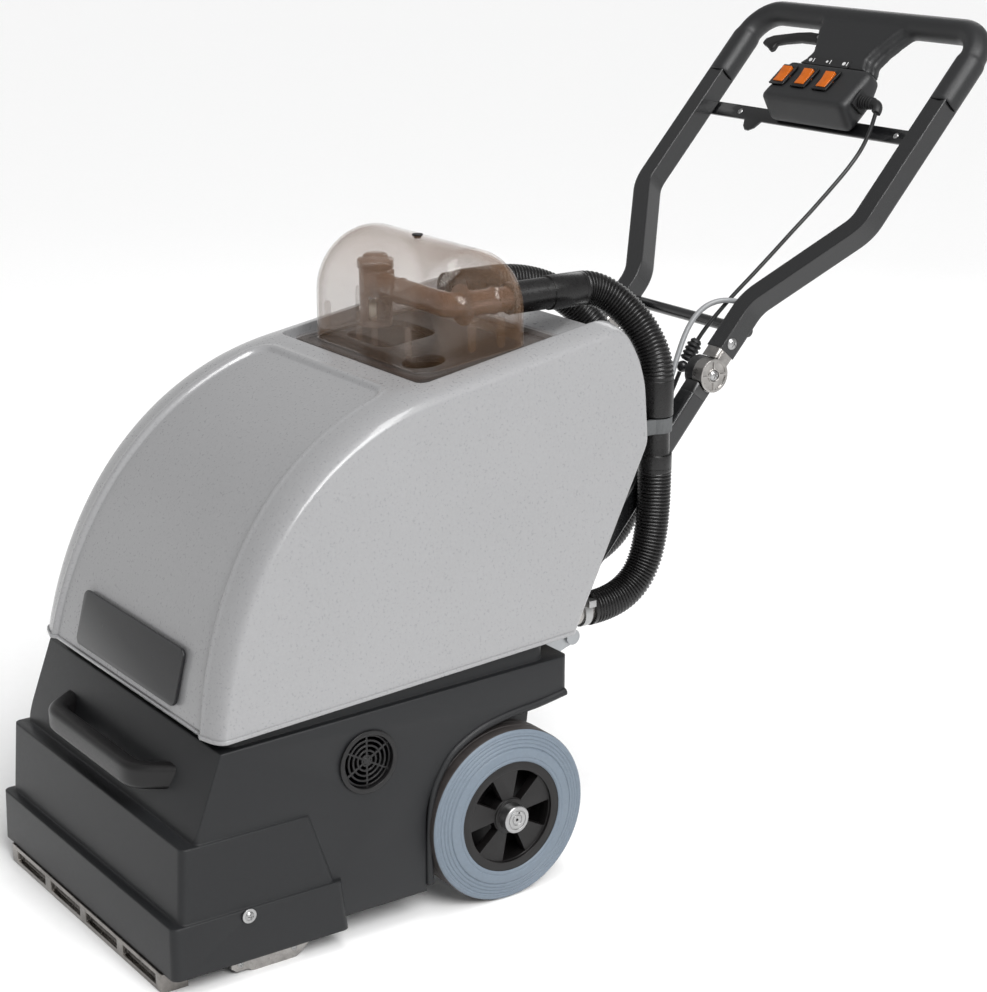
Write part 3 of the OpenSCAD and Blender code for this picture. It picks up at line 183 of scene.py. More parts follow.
def softened_path(path: Array, step: float, passes: int) -> Array:
    """A polyline with its corners eased by repeated averaging of neighbours.

    Args:
        path: points of the polyline.
        step: distance between the new points.
        passes: rounds of averaging.

    Returns:
        Points at equal steps, each round a quarter, a half and a quarter of its neighbours.
    """
    p = resampled(path, step)
    for _ in range(passes):
        p[1:-1] = 0.25 * p[:-2] + 0.5 * p[1:-1] + 0.25 * p[2:]
    return p


def rounded_rectangle(w: float, h: float, r: float, n: int = 8) -> Array:
    """Outline of a rectangle about the origin, its corners quarter circles.

    Args:
        w: width.
        h: height.
        r: radius of the corners.
        n: steps to a corner.

    Returns:
        Points anticlockwise from the right.
    """
    corners = [(w / 2 - r, h / 2 - r, 0), (r - w / 2, h / 2 - r, 90),
               (r - w / 2, r - h / 2, 180), (w / 2 - r, r - h / 2, 270)]
    return np.concatenate([arc((x, y), r, a, a + 90, n) for x, y, a in corners])


def smoothstep(t: Array) -> Array:
    """0 below 0, 1 above 1, and the cubic 3t^2 - 2t^3 between."""
    t = np.clip(t, 0, 1)
    return t * t * (3 - 2 * t)


def frames(path: Array, up: Sequence[float]) -> Tuple[Array, Array, Array]:
    """Directions along a path.

    Args:
        path: points of the path.
        up: direction that is never along it.

    Returns:
        The unit tangent, its cross product with up, and the cross product of that with the
        tangent.
    """
    t = np.gradient(path, axis=0)
    t /= np.linalg.norm(t, axis=1)[:, None]
    a = np.cross(t, np.array(up, float))
    a /= np.linalg.norm(a, axis=1)[:, None]
    return t, a, np.cross(a, t)


def carried(section: Array, path: Array, up: Sequence[float]) -> Array:
    """Grid of a flat section carried along a path.

    Args:
        section: outline as rows of two numbers, or one such outline for each path point.
        path: points of the middle line.
        up: direction that is never along the path.

    Returns:
        The grid: path point plus the section's two numbers times the path's two side directions.
    """
    _, a, b = frames(path, up)
    s = np.broadcast_to(section, (len(path),) + np.asarray(section).shape[-2:])
    return path[:, None] + s[..., :1] * a[:, None] + s[..., 1:] * b[:, None]


def tube(path: Array, radius: Array, sides: int, up: Sequence[float] = (1, 0, 0)) -> Array:
    """A round tube: the circle (cos, sin) times the radius at each point of the path.

    Args:
        path: points of the middle line.
        radius: one radius, or one for each point.
        sides: points round the tube.
        up: direction that is never along the path.

    Returns:
        Its grid, rows along the path.
    """
    a = circle(sides)
    ring = np.stack([np.cos(a), np.sin(a)], axis=1)
    r = np.broadcast_to(np.asarray(radius, float), (len(path),))
    return carried(ring[None] * r[:, None, None], path, up)


def turned(profile: Array, centre: Array, sides: int, way: float = 1.0) -> Array:
    """A profile turned about an axis along X.

    Args:
        profile: rows of distance along X and radius.
        centre: a point of the axis.
        sides: points round the axis.
        way: 1, or -1 to mirror the profile's distances.

    Returns:
        Its grid: centre plus (way x, r cos a, r sin a).
    """
    a = circle(sides)
    p = np.asarray(profile, float)
    x = np.broadcast_to(way * p[:, :1], (len(p), sides))
    return centre + np.stack([x, p[:, 1:] * np.cos(a), p[:, 1:] * np.sin(a)], axis=-1)


# ---------- meshes ----------


class Skin:
    """A mesh put together from numpy grids and flat faces, each with a material number."""

    def __init__(self) -> None:
        """Starts empty."""
        self.points: list = []
        self.faces: list = []
        self.tags: list = []
        self.count = 0

    def _add(self, points: Array, faces: list, tag: int) -> None:
        """Adds points, and faces that number them from zero.

        Args:
            points: the new points.
            faces: lists of point numbers.
            tag: material number of the faces.
        """
        self.points.append(np.reshape(points, (-1, 3)))
        self.faces.extend([[int(i) + self.count for i in f] for f in faces])
        self.tags.extend([tag] * len(faces))
        self.count += len(self.points[-1])

    def grid(self, g: Array, round_u: bool = False, round_v: bool = True, tag: int = 0) -> "Skin":
        """Adds a grid of rows u and columns v as quads.

        Args:
            g: the grid of points.
            round_u: whether the last row joins the first.
            round_v: whether the last column joins the first.
            tag: material number.

        Returns:
            The skin.
        """
        n, m = g.shape[:2]
        i, j = np.meshgrid(np.arange(n if round_u else n - 1), np.arange(m if round_v else m - 1),
                           indexing="ij")
        k, l = (i + 1) % n, (j + 1) % m
        quads = np.stack([i * m + j, i * m + l, k * m + l, k * m + j], axis=-1).reshape(-1, 4)
        self._add(g, quads.tolist(), tag)
        return self

    def face(self, ring: Array, tag: int = 0) -> "Skin":
        """Adds one flat face."""
        self._add(ring, [list(range(len(ring)))], tag)
        return self

    def ends(self, g: Array, tag: int = 0) -> "Skin":
        """Adds a flat face at each end of a grid."""
        return self.face(g[0], tag).face(g[-1], tag)

    def build(self, name: str, materials: Sequence[bpy.types.Material] = (), sharp: float = 32.0,
              merge: float = 1e-6) -> bpy.types.Object:
        """Makes the object: doubles merged, faces turned outward, smooth up to an angle.

        Args:
            name: name of the piece.
            materials: its materials, by number.
            sharp: angle in degrees over which an edge is crisp.
            merge: distance in metres under which points are one.

        Returns:
            The new object.
        """
        mesh = bpy.data.meshes.new(name)
        mesh.from_pydata(np.concatenate(self.points), [], self.faces)
        mesh.polygons.foreach_set("material_index", np.array(self.tags, np.int32))
        obj = bpy.data.objects.new(name, mesh)
        bpy.context.scene.collection.objects.link(obj)
        bm = bmesh.new()
        bm.from_mesh(mesh)
        bmesh.ops.remove_doubles(bm, verts=bm.verts, dist=merge)
        bmesh.ops.dissolve_degenerate(bm, edges=bm.edges, dist=1e-7)
        bmesh.ops.recalc_face_normals(bm, faces=bm.faces)
        bm.to_mesh(mesh)
        bm.free()
        for m in materials:
            mesh.materials.append(m)
        shade(obj, sharp)
        return obj


def shade(obj: bpy.types.Object, sharp: float) -> None:
    """Smooth shading, with the sharper edges kept crisp.

    Args:
        obj: the piece.
        sharp: angle in degrees over which an edge is crisp.
    """
    obj.data.polygons.foreach_set("use_smooth", np.ones(len(obj.data.polygons), bool))
    obj.data.set_sharp_from_angle(angle=math.radians(sharp))
    obj.data.update()


def baked(obj: bpy.types.Object) -> bpy.types.Object:
    """Applies the object's modifiers to its mesh.

    Args:
        obj: the piece.

    Returns:
        The same piece.
    """
    graph = bpy.context.evaluated_depsgraph_get()
    mesh = bpy.data.meshes.new_from_object(obj.evaluated_get(graph))
    mesh.name = obj.data.name
    obj.modifiers.clear()
    obj.data = mesh
    return obj


def cut(obj: bpy.types.Object, tools: Sequence[bpy.types.Object]) -> bpy.types.Object:
    """Cuts a piece with each closed tool in turn, and removes the tools.

    Args:
        obj: the piece.
        tools: the closed tools.

    Returns:
        The same piece.
    """
    for tool in tools:
        m = obj.modifiers.new("cut", "BOOLEAN")
        m.operation = "DIFFERENCE"
        m.solver = "MANIFOLD"
        m.object = tool
        baked(obj)
        bpy.data.objects.remove(tool)
    return obj


def prism(rows: Sequence, name: str = "cutter", sharp: float = 32.0) -> bpy.types.Object:
    """A closed solid between two or more like outlines in space."""
    g = np.array(rows)
    return Skin().grid(g).ends(g).build(name, sharp=sharp)


def bored(x: float, z: float, r: float, y0: float, y1: float) -> bpy.types.Object:
    """A round cutter along Y, from y0 to y1, in millimetres from the axle."""
    ring = arc((x, z), r, 0, 360, 40)[:-1]
    return prism([axle_frame(np.insert(ring, 1, y, axis=1)) for y in (y0, y1)])


def thickened(obj: bpy.types.Object, wall: float) -> bpy.types.Object:
    """Gives a skin a wall on its inner side.

    Args:
        obj: the skin.
        wall: the wall in metres.

    Returns:
        The same piece.
    """
    m = obj.modifiers.new("wall", "SOLIDIFY")
    m.thickness = wall
    m.offset = -1
    m.use_even_offset = True
    return baked(obj)


def sliced(obj: bpy.types.Object, point: Array, normal: Sequence[float]) -> bpy.types.Object:
    """Takes away what lies beyond a plane, leaving the skin open there.

    Args:
        obj: the skin.
        point: a point of the plane.
        normal: direction that points to the side taken away.

    Returns:
        The same piece.
    """
    bm = bmesh.new()
    bm.from_mesh(obj.data)
    bmesh.ops.bisect_plane(bm, geom=bm.verts[:] + bm.edges[:] + bm.faces[:], dist=1e-6,
                           plane_co=point, plane_no=normal, clear_outer=True)
    bm.to_mesh(obj.data)
    bm.free()
    return obj


def softened(node: str, name: str, bevel: float = 0.0, sharp: float = 30.0,
             segments: int = 3) -> bpy.types.Object:
    """A copy of a CAD node with merged faces and eased edges, which stands for that node.

    Args:
        node: the CAD node.
        name: name of the new piece.
        bevel: width of the eased edges in metres, or 0 for none.
        sharp: angle in degrees over which an edge counts as one.
        segments: faces across each eased edge.

    Returns:
        The new piece, without a finish.
    """
    source = frame["nodes"][node]
    obj = bpy.data.objects.new(name, source.data.copy())
    obj.data.name = name
    obj.data.materials.clear()
    bpy.context.scene.collection.objects.link(obj)
    bm = bmesh.new()
    bm.from_mesh(obj.data)
    bmesh.ops.remove_doubles(bm, verts=bm.verts, dist=2e-6)
    bmesh.ops.dissolve_limit(bm, angle_limit=math.radians(0.4), verts=bm.verts, edges=bm.edges)
    bm.to_mesh(obj.data)
    bm.free()
    if bevel:
        m = obj.modifiers.new("edges", "BEVEL")
        m.width = bevel
        m.segments = segments
        m.limit_method = "ANGLE"
        m.angle_limit = math.radians(sharp)
        m.use_clamp_overlap = True
        m.harden_normals = False
        baked(obj)
    shade(obj, 40.0 if bevel else sharp)
    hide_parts(node)
    return obj


def placed(obj: bpy.types.Object, body: str, material: Optional[bpy.types.Material] = None,
           nodes: Sequence[str] = ()) -> bpy.types.Object:
    """Gives a piece its finish, its body and the nodes that it stands for.

    Args:
        obj: the piece.
        body: the body that it rides on.
        material: its only material, or nothing to keep what it has.
        nodes: CAD nodes that it replaces.

    Returns:
        The same piece.
    """
    if material:
        obj.data.materials.clear()
        obj.data.materials.append(material)
    if nodes:
        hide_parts(*nodes)
    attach(obj, body)
    LOG.info("made %s on %s", obj.name, body)
    return obj


# ---------- finishes ----------


class Graph:
    """A material's nodes, with short ways to add and join them."""

    def __init__(self, name: str) -> None:
        """Starts a material with one Principled shader.

        Args:
            name: name of the material.
        """
        self.material = bpy.data.materials.new(name)
        self.material.use_nodes = True
        self.tree = self.material.node_tree
        self.shader = self.tree.nodes["Principled BSDF"]
        self.place = self.add("ShaderNodeTexCoord").outputs["Object"]

    def add(self, kind: str, **values: object) -> bpy.types.Node:
        """Adds a node.

        Args:
            kind: type of the node.
            values: each sets or joins the input of that name, or else sets the node's property.

        Returns:
            The new node.
        """
        node = self.tree.nodes.new(kind)
        for key, value in values.items():
            name = key.replace("_", " ")
            socket = next((s for s in node.inputs if s.name == name and s.enabled), None)
            if isinstance(value, bpy.types.NodeSocket):
                self.tree.links.new(value, socket)
            elif socket is not None and hasattr(socket, "default_value"):
                socket.default_value = value
            else:
                setattr(node, key, value)
        return node

    def set(self, name: str, value: object) -> None:
        """Sets or joins an input of the shader.

        Args:
            name: name of the input.
            value: a constant, or an output to join to it.
        """
        socket = self.shader.inputs[name]
        if isinstance(value, bpy.types.NodeSocket):
            self.tree.links.new(value, socket)
        else:
            socket.default_value = value

    def noise(self, scale: float, detail: float = 2.0, stretch: Optional[Sequence] = None,
              rough: float = 0.5) -> bpy.types.NodeSocket:
        """A noise pattern in object space.

        Args:
            scale: cells per metre.
            detail: number of finer layers.
            stretch: scale along each axis, or nothing.
            rough: weight of the finer layers.

        Returns:
            The pattern, mostly from 0.3 to 0.7.
        """
        place = self.place
        if stretch:
            place = self.add("ShaderNodeMapping", Vector=place, Scale=stretch).outputs["Vector"]
        return self.add("ShaderNodeTexNoise", Vector=place, Scale=scale, Detail=detail,
                        Roughness=rough).outputs["Fac"]

    def span(self, value: bpy.types.NodeSocket, low: float, high: float, start: float = 0.3,
             end: float = 0.7) -> bpy.types.NodeSocket:
        """Spreads part of a pattern's range evenly over another range.

        Args:
            value: the pattern.
            low: result at start.
            high: result at end.
            start: value that gives low.
            end: value that gives high.

        Returns:
            The spread pattern.
        """
        node = self.add("ShaderNodeMapRange", Value=value)
        for name, v in zip(("From Min", "From Max", "To Min", "To Max"), (start, end, low, high)):
            node.inputs[name].default_value = v
        return node.outputs["Result"]

    def mix(self, fac: bpy.types.NodeSocket, a: Colour, b: Colour) -> bpy.types.NodeSocket:
        """Blends two colours.

        Args:
            fac: 0 for the first colour, 1 for the second.
            a: first colour, or an output.
            b: second colour, or an output.

        Returns:
            The blended colour.
        """
        node = self.add("ShaderNodeMix", data_type="RGBA")
        self.tree.links.new(fac, node.inputs["Factor"])
        for socket, colour in zip([s for s in node.inputs if s.type == "RGBA"], (a, b)):
            if isinstance(colour, bpy.types.NodeSocket):
                self.tree.links.new(colour, socket)
            else:
                socket.default_value = (*colour, 1)
        return next(s for s in node.outputs if s.type == "RGBA")

    def bump(self, height: bpy.types.NodeSocket, strength: float, distance: float,
             edge: float = 0.0) -> bpy.types.NodeSocket:
        """A normal from a height pattern, over edges rounded in shading.

        Args:
            height: the pattern.
            strength: how strongly it shows.
            distance: its height in metres.
            edge: radius of the rounded edges in metres, or 0.

        Returns:
            The normal.
        """
        node = self.add("ShaderNodeBump", Strength=strength, Distance=distance, Height=height)
        if edge:
            under = self.add("ShaderNodeBevel", samples=6, Radius=edge).outputs["Normal"]
            self.tree.links.new(under, node.inputs["Normal"])
        return node.outputs["Normal"]


def shaded(colour: Colour, factor: float) -> Colour:
    """A colour made lighter or darker."""
    return tuple(min(1.0, c * factor) for c in colour)


@dataclass(frozen=True)
class Finish:
    """A moulded or painted surface: a mottled colour, uneven gloss and a fine grain.

    Attributes:
        name: name of the material.
        colour: linear base colour.
        rough: middle roughness.
        tone: share by which the colour varies from patch to patch.
        span: amount by which the roughness varies.
        metal: 1 for bare metal.
        grain: scale of the grain, in cells per metre.
        depth: height of the grain, in metres.
        strength: how strongly the grain shows.
        edge: radius to which edges are rounded in shading, in metres.
        coat: weight of a clear coat.
        stretch: how the grain is squeezed along each axis, for brushed or woven surfaces.
        patch: scale of the patches, in cells per metre.
        glow: specular level.
    """

    name: str
    colour: Colour
    rough: float = 0.5
    tone: float = 0.06
    span: float = 0.06
    metal: float = 0.0
    grain: float = 900.0
    depth: float = 0.0002
    strength: float = 0.3
    edge: float = 0.0006
    coat: float = 0.0
    stretch: Optional[Triple] = None
    patch: float = 9.0
    glow: float = 0.5

    def make(self) -> bpy.types.Material:
        """Builds the material once.

        Returns:
            The same material each time.
        """
        name = self.name + "_finish"
        found = bpy.data.materials.get(name)
        if found:
            return found
        g = Graph(name)
        self.dress(g)
        return g.material

    def dress(self, g: Graph) -> None:
        """Joins the patterns to the shader.

        Args:
            g: the material's nodes.
        """
        patches = g.noise(self.patch, 1.0)
        grain = g.noise(self.grain, 3.0, self.stretch, 0.6)
        dust = g.noise(self.grain * 0.23, 5.0)
        mottled = g.mix(patches, shaded(self.colour, 1 - 0.5 * self.tone),
                        shaded(self.colour, 1 + 0.5 * self.tone))
        g.set("Base Color", g.mix(g.span(dust, 0.0, 0.5), mottled,
                                  shaded(self.colour, 1 + 3 * self.tone)))
        g.set("Roughness", g.span(dust, self.rough - self.span, self.rough + self.span, 0.1,
                                  0.9))
        g.set("Metallic", self.metal)
        g.set("Coat Weight", self.coat)
        g.set("Specular IOR Level", self.glow)
        g.set("Normal", g.bump(grain, self.strength, self.depth, self.edge))


@dataclass(frozen=True)
class CastFinish(Finish):
    """Die-cast metal: the grain over a coarser pitted skin, darker where it is pitted."""

    def dress(self, g: Graph) -> None:
        """Adds pits and stains to the plain finish.

        Args:
            g: the material's nodes.
        """
        super().dress(g)
        pits = g.noise(260.0, 6.0, None, 0.7)
        stain = g.noise(38.0, 5.0, None, 0.65)
        base = g.mix(g.span(stain, 0.0, 0.75, 0.42, 0.68), self.colour,
                     shaded(self.colour, 0.5))
        g.set("Base Color", g.mix(g.span(pits, 0.3, 0.0, 0.3, 0.45), base,
                                  shaded(self.colour, 0.3)))
        g.set("Normal", g.bump(pits, 0.35, 0.0006, self.edge))


@dataclass(frozen=True)
class ClearFinish(Finish):
    """Tinted clear moulding: seen through straight on, browner and denser at its edges.

    Attributes:
        thin: how much shows straight on.
        thick: how much shows edge on.
    """

    thin: float = 0.12
    thick: float = 0.75

    def dress(self, g: Graph) -> None:
        """Joins the view-angle weight to the alpha, and faint flow marks to the gloss.

        Args:
            g: the material's nodes.
        """
        flow = g.noise(14.0, 3.0, (1.0, 1.0, 0.35))
        smear = g.noise(55.0, 4.0)
        facing = g.add("ShaderNodeLayerWeight", Blend=0.28).outputs["Facing"]
        g.set("Base Color", g.mix(g.span(flow, 0.0, 1.0), self.colour,
                                  shaded(self.colour, 0.82)))
        g.set("Roughness", g.span(smear, self.rough - self.span, self.rough + self.span))
        g.set("Alpha", g.span(facing, self.thin, self.thick, 0.0, 1.0))
        g.set("Coat Weight", self.coat)
        g.set("Normal", g.bump(flow, self.strength, self.depth, self.edge))


@dataclass(frozen=True)
class BrushFinish(Finish):
    """Packed bristles: fine streaks round the core, lighter at the tips."""

    def dress(self, g: Graph) -> None:
        """Adds streaks of colour to the plain finish.

        Args:
            g: the material's nodes.
        """
        super().dress(g)
        streak = g.noise(700.0, 2.0, (1.0, 0.08, 0.08))
        g.set("Base Color", g.mix(g.span(streak, 0.0, 1.0), shaded(self.colour, 0.45),
                                  shaded(self.colour, 1.5)))
        g.set("Normal", g.bump(streak, 0.8, 0.0012))


GREY_BODY = Finish("grey_body", (0.011, 0.0115, 0.0125), 0.44, 0.08, 0.05, grain=1300,
                   strength=0.6, depth=0.00025, edge=0.0035, glow=0.28, coat=0.04)
COVER_GREY = Finish("cover_grey", (0.238, 0.238, 0.243), 0.3, 0.07, 0.08, grain=1400,
                    strength=0.3, depth=0.0002, edge=0.0022, coat=0.4)
BLACK_PLASTIC = Finish("black_plastic", (0.0065, 0.0062, 0.0065), 0.36, 0.1, 0.08, grain=1100,
                       strength=0.4, edge=0.0015, glow=0.35)
HUB_BLACK = Finish("hub_black", (0.005, 0.0044, 0.0044), 0.42, 0.1, 0.07, grain=1000,
                   strength=0.5, edge=0.0012, glow=0.35)
STEEL = Finish("steel", (0.34, 0.35, 0.36), 0.38, 0.08, 0.1, 1.0, 700, strength=0.4,
               stretch=(1.0, 1.0, 0.1))
BRIGHT_STEEL = Finish("bright_steel", (0.36, 0.36, 0.36), 0.33, 0.08, 0.09, 1.0, 900,
                      strength=0.35, stretch=(0.15, 1.0, 1.0), edge=0.0004)
CAST_ALLOY = CastFinish("cast_alloy", (0.4, 0.385, 0.37), 0.3, 0.14, 0.09, 1.0, 800, edge=0.0009)
CAST_SHOE = CastFinish("cast_shoe", (0.27, 0.255, 0.24), 0.24, 0.16, 0.1, 1.0, 700, edge=0.0012)
MOTOR_PAINT = Finish("motor_paint", (0.07, 0.075, 0.08), 0.4, 0.08, 0.08, edge=0.0012)
PUMP_PAINT = Finish("pump_paint", (0.05, 0.1, 0.18), 0.4, 0.08, 0.08, edge=0.0012)
BLACK_RUBBER = Finish("black_rubber", (0.008, 0.008, 0.0085), 0.5, 0.15, 0.08, grain=800,
                      strength=0.5, edge=0.0008, glow=0.35)
TYRE_GREY = Finish("tyre_grey", (0.118, 0.147, 0.18), 0.55, 0.07, 0.06, grain=1000, strength=0.5,
                   edge=0.0008)
TREAD = Finish("tyre_tread", (0.025, 0.021, 0.02), 0.65, 0.25, 0.08, grain=500, strength=0.8,
               edge=0.0006)
BRISTLE = BrushFinish("brush_bristle", (0.03, 0.05, 0.08), 0.6, 0.3, 0.1)
BADGE = Finish("badge_blank", (0.01, 0.0102, 0.011), 0.3, 0.2, 0.05, grain=1200, strength=0.12,
               edge=0.0005, coat=0.12, glow=0.35)
TINTED_CLEAR = ClearFinish("tinted_clear", (0.24, 0.14, 0.08), 0.05, 0.05, 0.02, strength=0.05,
                           depth=0.0003, coat=0.9, edge=0.0, glow=0.7, thin=0.055, thick=0.62)
CLEAR_FLANGE = ClearFinish("clear_flange", (0.14, 0.1, 0.08), 0.08, 0.05, 0.02, strength=0.05,
                           depth=0.0003, coat=0.5, edge=0.0, glow=0.6, thin=0.05, thick=0.34)
BROWN_PLASTIC = ClearFinish("brown_plastic", (0.13, 0.066, 0.038), 0.14, 0.1, 0.06, strength=0.1,
                            depth=0.0004, coat=0.6, thin=0.6, thick=0.97)
HOSE_BLACK = Finish("hose_black", (0.005, 0.0047, 0.0048), 0.28, 0.15, 0.08, grain=900,
                    strength=0.35, edge=0.0, glow=0.4)
FLOAT_CREAM = Finish("float_cream", (0.62, 0.56, 0.46), 0.45, edge=0.0)
STRAP_GREY = Finish("strap_grey", (0.075, 0.078, 0.08), 0.75, 0.18, 0.05, grain=1600,
                    strength=0.9, depth=0.0006, stretch=(0.5, 0.5, 1.4), edge=0.0006)
CABLE_BLACK = Finish("cable_black", (0.008, 0.008, 0.0085), 0.34, 0.12, 0.08, edge=0.0)
LINE_GREY = Finish("line_grey", (0.2, 0.205, 0.21), 0.35, 0.08, 0.08, edge=0.0)
TUBE_PAINT = Finish("tube_paint", (0.006, 0.0062, 0.0068), 0.24, 0.08, 0.05, grain=1500,
                    strength=0.3, coat=0.4, edge=0.0028)
HINGE_DARK = CastFinish("hinge_dark", (0.1, 0.1, 0.1), 0.38, 0.1, 0.08, 1.0, 800, edge=0.0009)
GRIP_GREY = Finish("grip_grey", (0.0115, 0.0118, 0.0125), 0.44, 0.08, 0.06, grain=1100,
                   strength=0.7, depth=0.0003, edge=0.0025, glow=0.4)
ORANGE = Finish("orange_rocker", (0.4, 0.085, 0.002), 0.14, 0.15, 0.04, grain=600, strength=0.1,
                coat=0.2, edge=0.0008, glow=0.3)
PRINT_WHITE = Finish("print_white", (0.5, 0.5, 0.5), 0.5, 0.08, 0.05, edge=0.0)
PRINT_BLACK = Finish("print_black", (0.008, 0.008, 0.0085), 0.35, 0.08, 0.05, edge=0.0)
FLOOR = Finish("pale_floor", (0.97, 0.97, 0.97), 0.6, 0.01, 0.05, grain=300, strength=0.1,
               edge=0.0)


# ---------- studio ----------


@dataclass
class Lamp:
    """A rectangular soft light.

    Attributes:
        name: name of the lamp.
        place: where it stands, in metres.
        aim: the point that it faces.
        size: its width and height, in metres.
        power: its power in watts.
    """

    name: str
    place: Triple
    aim: Triple
    size: Pair
    power: float

    def make(self) -> None:
        """Adds the lamp, turned to its aim."""
        data = bpy.data.lights.new(self.name, "AREA")
        data.shape = "RECTANGLE"
        data.size, data.size_y = self.size
        data.energy = self.power
        lamp = bpy.data.objects.new(self.name, data)
        bpy.context.scene.collection.objects.link(lamp)
        lamp.location = self.place
        away = np.array(self.place) - np.array(self.aim)
        lamp.rotation_euler = (math.atan2(math.hypot(away[0], away[1]), away[2]), 0,
                               math.atan2(away[0], -away[1]))


@dataclass
class Sun:
    """A broad distant light, which lights the whole floor evenly.

    Attributes:
        name: name of the light.
        toward: direction from the object to the light.
        strength: its strength in watts per square metre.
        spread: its apparent size in degrees.
    """

    name: str
    toward: Triple
    strength: float
    spread: float

    def make(self) -> None:
        """Adds the light, shining from its direction."""
        data = bpy.data.lights.new(self.name, "SUN")
        data.energy = self.strength
        data.angle = math.radians(self.spread)
        sun = bpy.data.objects.new(self.name, data)
        bpy.context.scene.collection.objects.link(sun)
        x, y, z = self.toward
        sun.rotation_euler = (math.atan2(math.hypot(x, y), z), 0, math.atan2(x, -y))


@dataclass
class Studio:
    """Camera, lights, floor and surround.

    Attributes:
        eye: place of the camera, in metres.
        tilt: how far it looks down, in degrees.
        turn: its turn about Z, in degrees.
        lens: focal length for a 36 mm sensor, in millimetres.
        lamps: the lights.
        floor: half width of the floor, in metres.
        sky: how the surround's brightness falls with height, as the inputs of a map range.
    """

    eye: Triple = (2.0845, -1.4714, 1.1617)
    tilt: float = 16.849
    turn: float = 55.166
    lens: float = 82.06
    lamps: Tuple[Union[Lamp, Sun], ...] = (
        Sun("daylight", (0.86, -0.04, 0.8), 2.8, 34.0),
        Lamp("top", (0.75, -0.1, 2.5), (0.1, 0.0, 0.5), (0.5, 1.3), 20.0),
        Lamp("front_strip", (1.45, -2.3, 1.9), (0.0, 0.0, 0.5), (0.05, 1.1), 1.6),
        Lamp("side_strip", (2.7, -0.3, 2.0), (0.0, 0.0, 0.5), (0.05, 1.1), 8.0),
        Lamp("rim", (-1.6, 2.2, 1.9), (0.0, 0.1, 0.6), (1.2, 1.2), 9.0),
    )
    floor: float = 14.0
    sky: Tuple[Tuple[str, float], ...] = (
        ("From Min", 0.12), ("From Max", 0.5), ("To Min", 0.82), ("To Max", 0.36))

    def build(self) -> None:
        """Sets up everything round the object."""
        self._camera()
        for lamp in self.lamps:
            lamp.make()
        self._floor()
        self._world()

    def _camera(self) -> None:
        """Adds the camera."""
        data = bpy.data.cameras.new("camera")
        data.sensor_width = 36
        data.lens = self.lens
        camera = bpy.data.objects.new("camera", data)
        bpy.context.scene.collection.objects.link(camera)
        camera.location = self.eye
        camera.rotation_euler = (math.radians(90 - self.tilt), 0, math.radians(self.turn))
        bpy.context.scene.camera = camera

    def _floor(self) -> None:
        """Adds the floor: one flat square."""
        r, low = self.floor, -0.0004
        corners = np.array([(-r, -r, low), (r, -r, low), (r, r, low), (-r, r, low)])
        floor = Skin().face(corners).build("floor", [FLOOR.make()])

    def _world(self) -> None:
        """Adds a surround, white round the horizon and softer overhead, and plain colours."""
        bpy.context.scene.view_settings.view_transform = "Standard"
        world = bpy.data.worlds.new("surround")
        bpy.context.scene.world = world
        world.use_nodes = True
        tree = world.node_tree
        back = tree.nodes["Background"]
        back.inputs["Color"].default_value = (1.0, 1.0, 1.0, 1)
        split = tree.nodes.new("ShaderNodeSeparateXYZ")
        place = tree.nodes.new("ShaderNodeTexCoord")
        tree.links.new(place.outputs["Generated"], split.inputs["Vector"])
        fade = tree.nodes.new("ShaderNodeMapRange")
        fade.interpolation_type = "SMOOTHSTEP"
        for name, value in self.sky:
            fade.inputs[name].default_value = value
        tree.links.new(split.outputs["Z"], fade.inputs["Value"])
        tree.links.new(fade.outputs["Result"], back.inputs["Strength"])


# ---------- pieces that keep the frame's form ----------


def home(node: str) -> str:
    """The body that a CAD node belongs to."""
    bodies = frame["record"]["behaviour"]["bodies"]
    return next(body for body, nodes in bodies.items() if node in nodes)


@dataclass(frozen=True)
class Dressed:
    """A CAD node that keeps its form, with eased edges and a finish.

    Attributes:
        node: the CAD node.
        finish: its finish.
        bevel: width of the eased edges in metres, or 0 for none.
        slot: material slot in the record, or nothing for the finish's own name; not used.
    """

    node: str
    finish: Finish
    bevel: float = 0.0
    slot: str = ""

    def build(self) -> bpy.types.Object:
        """Makes the piece in place of its node."""
        obj = softened(self.node, self.node + "_look", self.bevel)
        return placed(obj, home(self.node), self.finish.make())


# ---------- hoses and cables ----------


def hose_run(a: Sequence, u: Sequence, b: Sequence, v: Sequence) -> Array:
    """Route of a hose: straight for 4 mm at each end, and a cubic between.

    Args:
        a: first end.
        u: handle of the cubic at the first end.
        b: far end.
        v: handle of the cubic at the far end.

    Returns:
        Points of the route.
    """
    a, u, b, v = (np.array(p, float) for p in (a, u, b, v))
    p = a + 4 * u / np.linalg.norm(u)
    q = b + 4 * v / np.linalg.norm(v)
    return np.concatenate([[a], bezier((p, p + u, q + v, q), 60), [b]])


